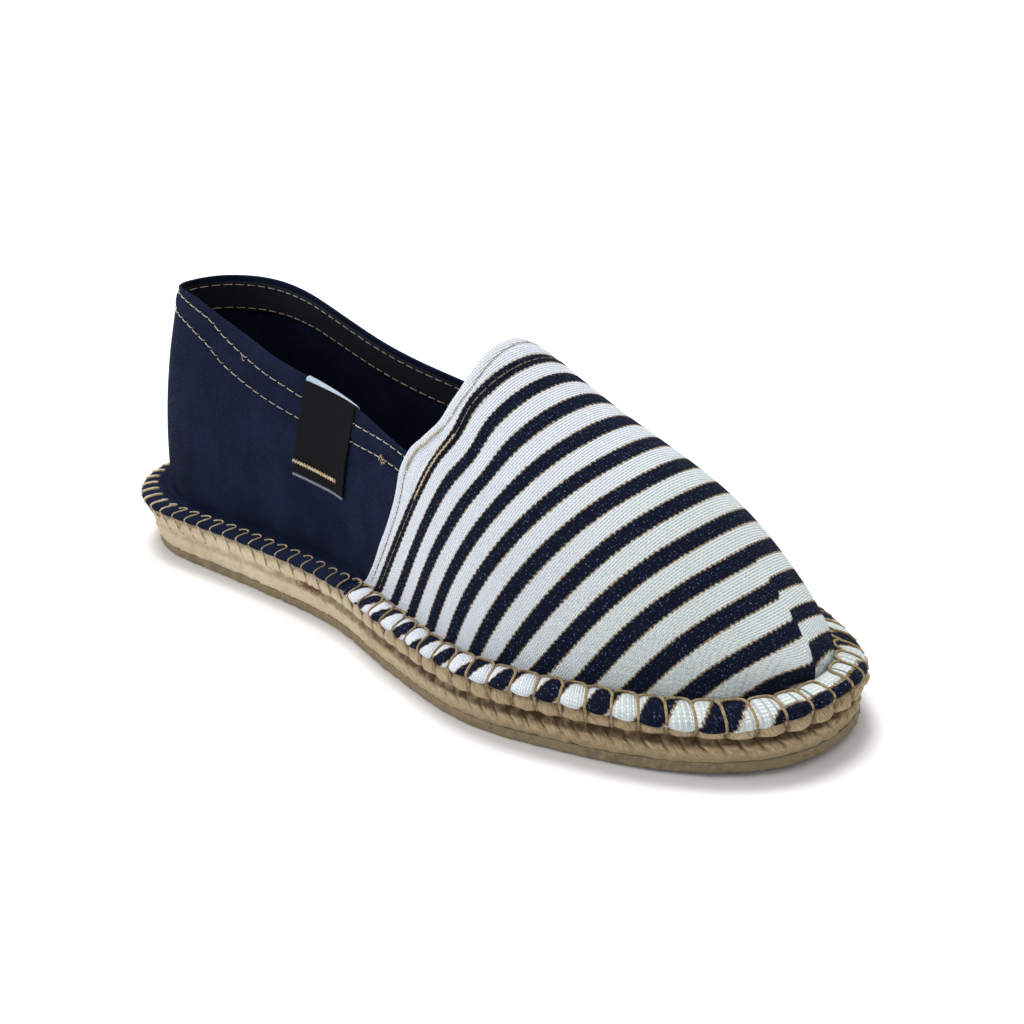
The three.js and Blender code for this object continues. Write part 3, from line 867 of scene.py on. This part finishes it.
# Middle of each dark stripe: at the crease, halfway up and on the ridge, mm in front of the
# middle of the sole
STRIPES = (
    (-1, 25.8, 33.8), (9, 33.5, 41.3), (18.2, 41.5, 49.9), (29.2, 50, 59.8),
    (38.5, 59, 69.6), (48.5, 68.8, 79), (58, 79.2, 87.8), (68.5, 89.2, 96.1), (81.8, 98.5, 104.1),
    (94.8, 108, 112), (107.8, 117.5, 120), (121.8, 126, 127.6), (135, 135.5, 136),
)
HALFWAY_UP = 0.7071  # the sine of the angle at which the stripes' second column is given
RIM_GATHER = 4.0  # cloth taken up in the crease, mm
RIM_SLANT = 6.0  # the stripes run back by this much as they cross the rim, mm
TIP_PHASE = 11.38  # the stripe that the rim shows round the tip of the toe, at its crease
TIP_TURN = 0.72  # and by how much of a stripe that changes down the rim


def vamp_point(along, angle, depth):
    """The vamp's arched sections. angle runs from 0 at the outer side to pi at the inner side."""
    inset = -(SEAM_INSET + depth)
    reach = math.cos(angle)
    bulge = math.copysign(abs(reach) ** (2 / SIDE_POWER), reach)
    x = (along - 0.5) * (SOLE_LENGTH + 2 * inset)
    y = BALL_WIDTH * read(SOLE_CENTRE, along) - half_width(along, inset) * bulge
    height = arch_height(along, depth) * max(0, math.sin(angle)) ** (2 / TOP_POWER)
    return Vector((x, y, SEAM_HEIGHT + height + lift(x)))


girths = {}


def girth(along, angle):
    """Length of cloth from the ridge to the angle, at a place along the vamp."""
    key = round(along * 200)
    if key not in girths:
        spots = [vamp_point(key / 200, math.pi / 2 * (1 - i / 24), 0) for i in range(25)]
        lengths = [0.0]
        for first, second in zip(spots, spots[1:]):
            lengths.append(lengths[-1] + (second - first).length)
        girths[key] = lengths
    place = abs(math.pi / 2 - min(max(angle, 0), math.pi)) / (math.pi / 2) * 24
    low = min(int(place), 23)
    length = mix(girths[key][low], girths[key][low + 1], place - low)
    return math.copysign(length, math.pi / 2 - angle)


RIDGE_WALK = [0.0]
for i in range(1, 201):
    step = vamp_point(i / 200, math.pi / 2, 0) - vamp_point((i - 1) / 200, math.pi / 2, 0)
    RIDGE_WALK.append(RIDGE_WALK[-1] + step.length)


def vamp_edge(angle):
    return read(VAMP_HEM, math.degrees(angle))


def stripe_places(angle):
    """Middle of each dark stripe at an angle round the vamp."""
    s = math.sin(angle)
    half = HALFWAY_UP
    low = (s - half) * (s - 1) / half
    middle = s * (1 - s) / (half * (1 - half))
    high = s * (s - half) / (1 - half)
    return [low * a + middle * b + high * c for a, b, c in STRIPES]


def kink(angle):
    """The first stripes jog forward where the hem bends down to the side, mm."""
    return 1.8 * dent(math.degrees(angle) - 51, 8)


def stripe_phase(x, angle):
    """Counts stripes from the throat to the toe: a whole number on the middle of each dark one."""
    inner = min(max(angle, 0), math.pi)
    places = stripe_places(inner)
    x -= kink(inner) * (1 - blend(x, 32, 52))
    row = 0
    while row < len(places) - 2 and places[row + 1] < x:
        row += 1
    return max(-0.5, row + (x - places[row]) / (places[row + 1] - places[row]))


def vamp_cloth(column, row):
    """One place on the vamp. A row is a share of the way from hem to toe, a depth, and how far
    back from there the cloth is folded, mm."""
    part, across = column
    angle = across if part == "arch" else (0 if part == "outer rim" else math.pi)
    share, depth, back = row
    edge_walk = walk_of(turn_at(vamp_edge(angle)))
    walk = mix(edge_walk, HALF_ROUND, share) - back
    wavy = 0.5 * noise.noise(Vector((girth(0.55, angle) * 0.12, 1, 51)))
    walk += wavy * (1 - blend(share, 0, 0.06))
    along = along_of(turn_after(walk))
    x = (along - 0.5) * (SOLE_LENGTH - 2 * SEAM_INSET)
    from_hem = walk - edge_walk
    sunk = 0.3 * dent(from_hem - 2.8, 0.8) + 0.25 * dent(from_hem - 8.7, 0.8)
    sunk += 0.35 * noise.noise(Vector((x * 0.035, angle * 2.2, 21))) * blend(share, 0, 0.1)
    width = 0.44 + 0.05 * blend(along, 0.55, 0.95) * (1 - math.sin(angle))
    if part == "arch":
        low = min(int(along * 200), 199)
        ridge_walk = mix(RIDGE_WALK[low], RIDGE_WALK[low + 1], along * 200 - low)
        on_cloth = (mix(walk, ridge_walk, math.sin(angle)), girth(along, angle))
        from_crease = girth(along, 0) - abs(girth(along, angle))
        number = stitch_number(math.copysign(walk, angle - math.pi / 2))
        gather = math.exp(-from_crease / 5) * blend(from_crease, 0, 2)
        sunk += 0.5 * (0.6 - between(number)) * gather
        pleat = blend(x, 104, 112) * (1 - blend(x, 124, 126))
        sunk -= 0.45 * pleat * dent(math.degrees(angle) - 95, 4)
        point = vamp_point(along, angle, depth + sunk * blend(math.sin(angle), 0, 0.25))
        tucked = mix(0.6, 2.8, blend(x, 108, 124)) * blend(x, 100, 110)
        tucked *= blend(math.degrees(angle), 96, 100)
        return point, on_cloth, (stripe_phase(x + tucked, angle), width)
    side = -1 if part == "outer rim" else 1
    point = rim_point(side * walk, across, puff(side * walk, across) - depth)
    phase = stripe_phase(x + RIM_GATHER * blend(across, 0, 0.12) + RIM_SLANT * across, 0)
    round_tip = blend(walk, HALF_ROUND - 23, HALF_ROUND - 16)
    phase = mix(phase, TIP_PHASE + TIP_TURN * across, round_tip)
    return point, (walk, -side * (girth(along, 0) + 8.5 * across)), (phase, width)


vamp_columns = [("outer rim", down) for down in steps(RIM_END, RIM_START, 20)]
vamp_columns += [("arch", angle) for angle in steps(0.02, math.pi - 0.02, 110)]
vamp_columns += [("inner rim", down) for down in steps(RIM_START, RIM_END, 20)]
vamp_rows = [(0, VAMP_WALL, -8 + i * 2) for i in range(4)]
vamp_rows += [
    (0, VAMP_WALL / 2 * (1 - math.sin(bend)), VAMP_WALL / 2 * math.cos(bend))
    for bend in steps(-math.pi / 2, math.pi / 2, 6)
]
vamp_rows += [(share, 0, 0) for share in steps(0, 1, 220)[1:]]
bm = lay_sheet(vamp_columns, vamp_rows, vamp_cloth)
bmesh.ops.reverse_faces(bm, faces=bm.faces)

striped, tree, shader = start_material("striped canvas")
threads, woven = lay_weave(tree, 1.3, 1.3)
stripe_at = parts_of(tree, map_of(tree, "pattern"))
ticks = sums(tree, "SINE", times(tree, parts_of(tree, map_of(tree, "cloth"))["Y"], 3.6))
ragged = times(tree, less(tree, noise_at(tree, threads, 0.8, 2.0), 0.5), 0.07)
ragged = plus(tree, ragged, times(tree, ticks, 0.012))
from_edge = less(tree, off_half(tree, stripe_at["X"], 0.5), times(tree, stripe_at["Y"], 0.5))
from_edge = plus(tree, from_edge, ragged)

# Painted shade greys the white a little towards the toe, and painted glints speck the navy
toeward = ramp(tree, parts_of(tree, place_in_shoe(tree))["X"], 0.04, 0.11)
white = tint(tree, toeward, srgb(232, 237, 246), srgb(224, 233, 232))
white_low = tint(tree, toeward, srgb(220, 226, 238), srgb(211, 221, 221))
white = tint(tree, ramp(tree, woven["Tone"], 0.25, 0.6), white_low, white)
# Painted highlight: small pale-blue glints on the navy threads
glint = noise_at(tree, stretch(tree, threads, (0.8, 1.2, 0)), 1.3, 1.0)
dark = tint(tree, woven["Tone"], srgb(8, 11, 24), srgb(24, 31, 54))
dark = tint(tree, ramp(tree, glint, 0.64, 0.7, 0.0, 0.65), dark, srgb(110, 130, 175))
colour = tint(tree, ramp(tree, from_edge, -0.012, 0.012), dark, white)

# An ochre thread runs along each edge, with pale beads where it comes up
on_edge = ramp(tree, size_of(tree, from_edge), 0.012, 0.035, 1.0, 0.0)
broken = ramp(tree, noise_at(tree, threads, 1.3, 1.0), 0.38, 0.55, 0.25, 1.0)
colour = tint(tree, times(tree, on_edge, broken), colour, srgb(142, 118, 80))
from_beads = size_of(tree, less(tree, from_edge, 0.02))
bead = times(tree, ramp(tree, from_beads, 0.015, 0.05, 1.0, 0.0), ramp(tree, ticks, 0.55, 0.9))
bead = times(tree, bead, ramp(tree, noise_at(tree, threads, 0.7, 0.0), 0.45, 0.6))
paint(tree, shader, tint(tree, times(tree, bead, 0.8), colour, srgb(208, 190, 158)))
matt(shader, 0.88, 0.06)
bump(tree, shader, woven["Height"], 0.0005)

vamp = make_piece("vamp", bm, "canvas", striped)
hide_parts("upper")

# Vamp lining
# A thin navy cotton lining inside the vamp. It is caught under the vamp's hem and in the seam
# all round the toe, and lies close under the striped canvas.


def lining_cloth(angle, share):
    edge = vamp_edge(angle) + 0.02
    along = along_of(turn_after(mix(walk_of(turn_at(edge)), HALF_ROUND - 2, share)))
    point = vamp_point(along, angle, VAMP_WALL + 0.15)
    return point, (point.x, girth(along, angle))


bm = lay_sheet(steps(0, math.pi, 60), steps(0, 1, 80), lining_cloth)
lining = make_piece("vamp_lining", bm, "canvas", navy)
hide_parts("upper")

# Collar tape
# A dark woven tape about 10 mm wide, sewn inside the quarter just under its top edge. The
# real tape's markings are left off, so it is bare.

TAPE_DROP = 1.4
TAPE_WIDTH = 9.8
TAPE_THICKNESS = 0.5
TAPE_FACE = HEM_STEP + QUARTER_WALL + 0.7  # depth of the tape's face, mm


def tape_cloth(turn, drop):
    wave = 0.15 * noise.noise(Vector((walk_of(turn) * 0.05, drop * 0.1, 31)))
    return below_collar(turn, drop, TAPE_FACE + wave), (walk_of(turn), drop)


tape_end = turn_at(0.515)
tape_drops = steps(TAPE_DROP + TAPE_WIDTH, TAPE_DROP, 12)
bm = lay_sheet(steps(-tape_end, tape_end, 300), tape_drops, tape_cloth)

tape, tree, shader = start_material("collar tape")
threads, woven = lay_weave(tree, 2.6, 5.0)
paint(tree, shader, tint(tree, woven["Tone"], srgb(26, 27, 35), srgb(60, 62, 74)))
matt(shader, 0.8, 0.06)
bump(tree, shader, woven["Height"], 0.0003)
collar_tape = make_piece("tape", bm, "tape", tape)
thicken(collar_tape, TAPE_THICKNESS)
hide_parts("collar_tape")

# Side label
# A black woven label folded over the collar on the outer side. It is left bare, with the pale
# threads of its fold, and a frayed pale edge at its cut end.

LABEL_PLACE = 0.386
LABEL_WIDTH = 23.5
LABEL_LENGTH = 27.0
LABEL_INSIDE = 1.6  # how far its inner end reaches down inside the collar, mm
LABEL_THICKNESS = 0.35


def label_point(offset, drop, raised=0.0, bend=-1.0):
    """A place on the label. bend is -1 on its outer face and 1 inside the collar."""
    skewed = offset * (1 + 0.004 * drop) - 0.16 * drop
    turn = -turn_at(LABEL_PLACE + skewed / SOLE_LENGTH)
    drop *= 1.065 - 0.0055 * offset
    radius = QUARTER_WALL / 2 + 0.4 + raised
    if bend == -1:
        radius += 0.25 * noise.noise(Vector((offset * 0.08, drop * 0.08, 41))) * blend(drop, 0, 5)
        radius += 0.5 * blend(offset, 6, 12) * blend(drop, 4, 20)
    around = bend * math.pi / 2
    point = below_collar(turn, drop, HEM_STEP + QUARTER_WALL / 2 + radius * math.sin(around))
    point.z += radius * math.cos(around)
    return point


def label_cloth(offset, row):
    drop, bend = row
    return label_point(offset, drop, 0.0, bend), (offset, drop - 1.5 * (bend + 1))


label_rows = [(drop, -1) for drop in steps(LABEL_LENGTH, 0, 40)]
label_rows += [(0, bend) for bend in steps(-0.8, 0.8, 8)]
label_rows += [(drop, 1) for drop in steps(0, LABEL_INSIDE, 2)]
bm = lay_sheet(steps(-LABEL_WIDTH / 2, LABEL_WIDTH / 2, 30), label_rows, label_cloth)

label_weave, tree, shader = start_material("label weave")
threads, woven = lay_weave(tree, 2.4, 3.6)
parts = parts_of(tree, map_of(tree, "cloth"))
colour = tint(tree, woven["Tone"], srgb(14, 14, 16), srgb(34, 34, 38))
ragged = times(tree, noise_at(tree, threads, 0.9, 2.0), 0.9)
frayed = ramp(tree, plus(tree, parts["Y"], ragged), LABEL_LENGTH - 0.5, LABEL_LENGTH)
colour = tint(tree, frayed, colour, srgb(150, 156, 168))
fold_edge = ramp(tree, plus(tree, parts["Y"], times(tree, parts["X"], 0.07)), -0.75, -0.6, 1.0, 0.0)
paint(tree, shader, tint(tree, fold_edge, colour, srgb(205, 225, 240)))
matt(shader, 0.8, 0.06)
bump(tree, shader, woven["Height"], 0.0003)
side_label = make_piece("label", bm, "label", label_weave)
thicken(side_label, LABEL_THICKNESS)
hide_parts("side_label")

# Blanket stitches
# Twisted jute thread whipped round the shoe. Each stitch comes out of the groove in the jute,
# goes up over the rim to the crease, and runs back along it to the stitch before.

THREAD = 0.42  # radius of the twine over the vamp, mm
THIN_THREAD = 0.24  # and where it is drawn tight over the quarter

# How far down the rim the thread lies on its way up from the groove to the crease
CLIMB = (1.0, 0.85, 0.7, 0.55, 0.4, 0.28)
# Its run back: the share of the way to the stitch before, and how far down the rim
CREASE_RUN = (
    (0.04, 0.2), (0.14, 0.12), (0.3, 0.06), (0.48, 0.04), (0.66, 0.05), (0.84, 0.1), (0.95, 0.2),
)


def start_threads():
    bm = bmesh.new()
    return bm, bm.loops.layers.uv.new("cloth")


def add_thread(bm, layer, path, radius, sides=7):
    """Adds a closed thread along a path in mm: a ring of sides, extruded from point to point."""
    spots = [(point + MIDDLE) * MM for point in path]
    far = 0.0
    for i, spot in enumerate(spots):
        ahead = spots[min(i + 1, len(spots) - 1)] - spots[max(i - 1, 0)]
        turned = ahead.normalized().to_track_quat("Z", "Y").to_matrix().to_4x4()
        place = Matrix.Translation(spot) @ turned
        if i == 0:
            ring = bmesh.ops.create_circle(
                bm, cap_ends=True, segments=sides, radius=radius * MM, matrix=place
            )["verts"]
            cap = ring[0].link_faces[0]
            edges = list(cap.edges)
            bmesh.ops.reverse_faces(bm, faces=[cap])
            last_place = place
            continue
        far += (spot - spots[i - 1]).length / MM
        made = bmesh.ops.extrude_edge_only(bm, edges=edges)["geom"]
        ring = [part for part in made if isinstance(part, bmesh.types.BMVert)]
        edges = [part for part in made if isinstance(part, bmesh.types.BMEdge)]
        edges = [edge for edge in edges if all(vert in ring for vert in edge.verts)]
        bmesh.ops.transform(bm, matrix=place @ last_place.inverted(), verts=ring)
        last_place = place
        for face in {face for edge in edges for face in edge.link_faces}:
            for loop in face.loops:
                loop[layer].uv = (0, far)
    bmesh.ops.contextual_create(bm, geom=edges)


def finish_threads(name, bm, slot, material):
    bmesh.ops.recalc_face_normals(bm, faces=bm.faces)
    make_piece(name, bm, slot, material)


def blanket_stitch(number):
    """The path of one stitch: out of the groove, over the rim, and back along the crease."""
    foot_walk = stitch_walk(number)
    sway = noise.noise(Vector((number * 1.7, 3, 7)))
    turn = turn_after(foot_walk)
    along = along_of(turn)
    toeward = 1 if foot_walk > 0 else -1
    path = []
    for z, raised in ((GROOVE - 0.2, -0.8), (GROOVE + 0.6, THREAD * 0.6), (GROOVE + 1.8, THREAD * 0.6)):
        outset = jute_outset(foot_walk, z, along) - foot_inset(along, z)
        path.append(edge_point(turn, outset + raised, z))
    on_vamp = blend(along, 0.42, 0.52)
    at_heel = 1 - blend(along, 0.06, 0.14)
    radius = mix(THIN_THREAD, THREAD, max(on_vamp, 1.5 * at_heel))
    for down in CLIMB:
        down = mix(down, 1, 0.3 * (1 - on_vamp))
        walk = foot_walk + toeward * (mix(1.3, 0.3, on_vamp) + sway * 0.5) * (1 - down) ** 2
        path.append(rim_point(walk, down, puff(walk, down) + radius * 0.8))
    for hook, down in CREASE_RUN:
        reach = hook * mix(0.5 * blend(along, 0.05, 0.2), 1, on_vamp)
        walk = stitch_walk(number - toeward * reach)
        walk += toeward * 0.7 * (1 - on_vamp) * (1 - hook)
        down = mix(down, 1, 0.3 * (1 - on_vamp))
        raised = puff(walk, down) + radius * mix(1.0, 0.3, hook)
        path.append(rim_point(walk, down, raised))
    return path, radius


bm, stitch_map = start_threads()
for number in range(-(STITCHES // 2), STITCHES // 2 + 1):
    path, radius = blanket_stitch(number)
    add_thread(bm, stitch_map, path, radius)

twine, tree, shader = start_material("jute twine")
spot = place_in_shoe(tree)
heelward = ramp(tree, parts_of(tree, spot)["X"], -0.1, 0.0, 1.0, 0.0)
dark = tint(tree, heelward, srgb(112, 92, 62), srgb(158, 138, 104))
light = tint(tree, heelward, srgb(168, 146, 108), srgb(222, 204, 168))
tone = ramp(tree, noise_at(tree, spot, 900.0, 3.0, 0.6), 0.3, 0.7)
paint(tree, shader, tint(tree, tone, dark, light))
shader.inputs["Roughness"].default_value = 0.85
shader.inputs["Sheen Weight"].default_value = 0.15
bump(tree, shader, noise_at(tree, spot, 1600.0, 3.0, 0.6), 0.0003)
finish_threads("blanket_stitches", bm, "jute", twine)

# Seam stitches
# Rows of machine stitching: two round the collar outside and one along each edge of the tape
# inside, in cream thread, and the two finer rows of twine that hold the vamp's hem.

SEAM_THREAD = 0.14  # radius, mm
HEM_THREAD = 0.12
HEM_MARGIN = 2.8  # from the vamp's cut edge to its first row, mm


def sew(bm, layer, over, under, dash, gap, radius):
    """Adds stitches of one length along a seam. over lies on the cloth and under just in it."""
    lengths = [0.0]
    for first, second in zip(over, over[1:]):
        lengths.append(lengths[-1] + (second - first).length)

    def at(line, length):
        low = 0
        while low < len(lengths) - 2 and lengths[low + 1] < length:
            low += 1
        part = (length - lengths[low]) / (lengths[low + 1] - lengths[low])
        return line[low].lerp(line[low + 1], part)

    start = gap
    count = 0
    while start + dash < lengths[-1]:
        uneven = 0.25 * noise.noise(Vector((count * 2.3, len(over), 5)))
        end = start + dash * (1 + uneven)
        path = [at(under, start)]
        path += [at(over, mix(start, end, share)) for share in (0.12, 0.5, 0.88)]
        path.append(at(under, end))
        add_thread(bm, layer, path, radius, 5)
        start = end + gap * (1 - uneven)
        count += 1


def collar_line(drops, depth, end):
    turns = [turn_after(walk) for walk in steps(-end, end, 360)]
    return [below_collar(turn, read(drops, along_of(turn)), depth) for turn in turns]


def spun_thread(name, dark, light, tone_scale, twist_scale, roughness):
    """Thread in two tones, with a fine raised twist."""
    material, tree, shader = start_material(name)
    spot = place_in_shoe(tree)
    tone = ramp(tree, noise_at(tree, spot, tone_scale, 3.0, 0.6), 0.3, 0.7)
    paint(tree, shader, tint(tree, tone, dark, light))
    shader.inputs["Roughness"].default_value = roughness
    bump(tree, shader, noise_at(tree, spot, twist_scale, 2.0), 0.0002)
    return material, shader


bm, stitch_map = start_threads()
outside_end = walk_of(turn_at(0.57))
for seam in (SEAM_UPPER, SEAM_LOWER):
    over = collar_line(seam, HEM_STEP - 0.05, outside_end)
    under = collar_line(seam, HEM_STEP + 0.5, outside_end)
    sew(bm, stitch_map, over, under, 3.1, 0.9, SEAM_THREAD)
inside_end = walk_of(turn_at(QUARTER_END))
for edge_drop in (TAPE_DROP + 0.9, TAPE_DROP + TAPE_WIDTH - 0.9):
    drops = ((0, edge_drop), (1, edge_drop))
    over = collar_line(drops, TAPE_FACE + 0.15, inside_end)
    under = collar_line(drops, TAPE_FACE - 0.5, inside_end)
    sew(bm, stitch_map, over, under, 3.1, 0.7, SEAM_THREAD)

cream, shader = spun_thread(
    "cream thread", srgb(150, 138, 120), srgb(208, 196, 176), 1100.0, 2200.0, 0.7
)
shader.inputs["Sheen Weight"].default_value = 0.2
finish_threads("collar_stitches", bm, "canvas", cream)


def hem_line(row, depth, first=0.03, last=math.pi - 0.03):
    """Row 0 runs beside the cut edge of the hem, and row 1 along the first dark stripe."""
    points = []
    for angle in steps(first, last, 300):
        if row:
            stripe = stripe_places(angle)[0] + kink(angle)
            along = stripe / (SOLE_LENGTH - 2 * SEAM_INSET) + 0.5
        else:
            along = along_of(turn_after(walk_of(turn_at(vamp_edge(angle))) + HEM_MARGIN))
        points.append(vamp_point(along, angle, depth))
    return points


bm, stitch_map = start_threads()
for row in (0, 1):
    sew(bm, stitch_map, hem_line(row, 0.0), hem_line(row, 0.5), 3.2, 0.1, HEM_THREAD)
finish_threads("hem_stitches", bm, "canvas", twine)

# Bar tacks
# Tan thread where the machine has sewn back and forth: on both rows of the hem and across the
# label. A knot sits where the collar's lower row ends, and one end of thread was left uncut.

TACK_DROP = 22.6  # from the collar down to the bar across the label, mm
KNOT_PLACE = 0.5
KNOT_LOOPS = 9
KNOT_SEED = 6  # the vector noise that lays its loops is random unless it has a seed
STRAY_PLACE = 0.222

bm, stitch_map = start_threads()
for row, first, last, wide in ((0, 0.62, 0.88, 0.2), (1, 0.53, 0.9, 0.4)):
    middle = hem_line(row, -0.25, first, last)[::10]
    zigzag = [point + Vector((wide * (-1) ** i, 0, 0)) for i, point in enumerate(middle)]
    add_thread(bm, stitch_map, zigzag, 0.18)
    add_thread(bm, stitch_map, middle, 0.24)
tack = [
    label_point(offset, TACK_DROP + 0.5 * (-1) ** i, 0.3)
    for i, offset in enumerate(steps(-11.6, 8, 34))
]
add_thread(bm, stitch_map, tack, 0.22)
bar = [label_point(offset, TACK_DROP, 0.3) for offset in steps(-11.6, 8, 12)]
add_thread(bm, stitch_map, bar, 0.35)

knot_turn = -turn_at(KNOT_PLACE)
noise.seed_set(KNOT_SEED)
for i in range(KNOT_LOOPS):
    ends = []
    for side in (-1, 1):
        bend = noise.noise_vector(Vector((i * 2.3, side, 6)))
        turn = knot_turn + 0.022 * (side * bend.x * 1.4 + bend.z * 0.6)
        drop = read(SEAM_LOWER, KNOT_PLACE) + 1.6 * bend.y + side * 0.5
        ends.append(below_collar(turn, drop, HEM_STEP - 0.3 - 0.4 * abs(bend.z)))
    middle = ends[0].lerp(ends[1], 0.5) + Vector((0, -0.6, 0.3))
    add_thread(bm, stitch_map, [ends[0], middle, ends[1]], HEM_THREAD, 5)

stray = []
for share, drop in ((0, 4.9), (0.3, 6.0), (0.6, 6.4), (1, 5.9)):
    turn = -turn_at(STRAY_PLACE + 0.006 * share)
    stray.append(below_collar(turn, drop, HEM_STEP - 0.35))
add_thread(bm, stitch_map, stray, HEM_THREAD, 5)

tan_thread, shader = spun_thread(
    "tan thread", srgb(150, 130, 102), srgb(206, 186, 152), 1000.0, 1900.0, 0.75
)
finish_threads("bar_tacks", bm, "canvas", tan_thread)

# Floor, light and camera
# A pale seamless floor under soft studio light from above and the left, seen from the
# photograph's angle.

FLOOR_REACH = 6.0  # from its middle to each side, m
CAMERA_DISTANCE = 0.55522  # from the middle of what it looks at, m
FOCAL_LENGTH = 67.17
SENSOR_WIDTH = 36.0
CAMERA_AIM = Vector((0.01081, 0.01403, 0.030))
CAMERA_RIGHT = Vector((0.72139, 0.69075, -0.04970))
CAMERA_UP = Vector((-0.23375, 0.31041, 0.92141))

floor_mesh = bpy.data.meshes.new("floor")
bm = bmesh.new()
bmesh.ops.create_grid(bm, x_segments=1, y_segments=1, size=FLOOR_REACH)
bm.to_mesh(floor_mesh)
bm.free()
floor = bpy.data.objects.new("floor", floor_mesh)
bpy.context.scene.collection.objects.link(floor)
paper, tree, shader = start_material("white paper")
clouds = noise_at(tree, place_in_shoe(tree), 3.0)
paint(tree, shader, tint(tree, clouds, srgb(240, 240, 241), srgb(244, 244, 245)))
shader.inputs["Roughness"].default_value = 0.8
floor_mesh.materials.append(paper)

world = bpy.data.worlds.new("studio")
world.use_nodes = True
surround = world.node_tree.nodes["Background"]
surround.inputs["Color"].default_value = (1.0, 1.0, 1.0, 1.0)
surround.inputs["Strength"].default_value = 0.64
bpy.context.scene.world = world
bpy.context.scene.view_settings.view_transform = "Standard"


def add_lamp(name, toward, softness, power):
    """A soft, even lamp. toward points from the shoe to where the light comes from."""
    lamp = bpy.data.lights.new(name, "SUN")
    lamp.angle = math.radians(softness)
    lamp.energy = power
    holder = bpy.data.objects.new(name, lamp)
    bpy.context.scene.collection.objects.link(holder)
    holder.location = toward
    holder.rotation_euler = Vector(toward).to_track_quat("Z", "Y").to_euler()


add_lamp("key light", (-0.45, 0.3, 1.32), 26, 2.5)
add_lamp("fill light", (-1.0, -0.85, 0.67), 39, 1.0)

backward = CAMERA_RIGHT.cross(CAMERA_UP)
turned = Matrix((CAMERA_RIGHT, CAMERA_UP, backward)).transposed().to_4x4()
lens = bpy.data.cameras.new("camera")
lens.sensor_width = SENSOR_WIDTH
lens.lens = FOCAL_LENGTH
camera = bpy.data.objects.new("camera", lens)
bpy.context.scene.collection.objects.link(camera)
camera.matrix_world = Matrix.Translation(CAMERA_AIM + backward * CAMERA_DISTANCE) @ turned
bpy.context.scene.camera = camera
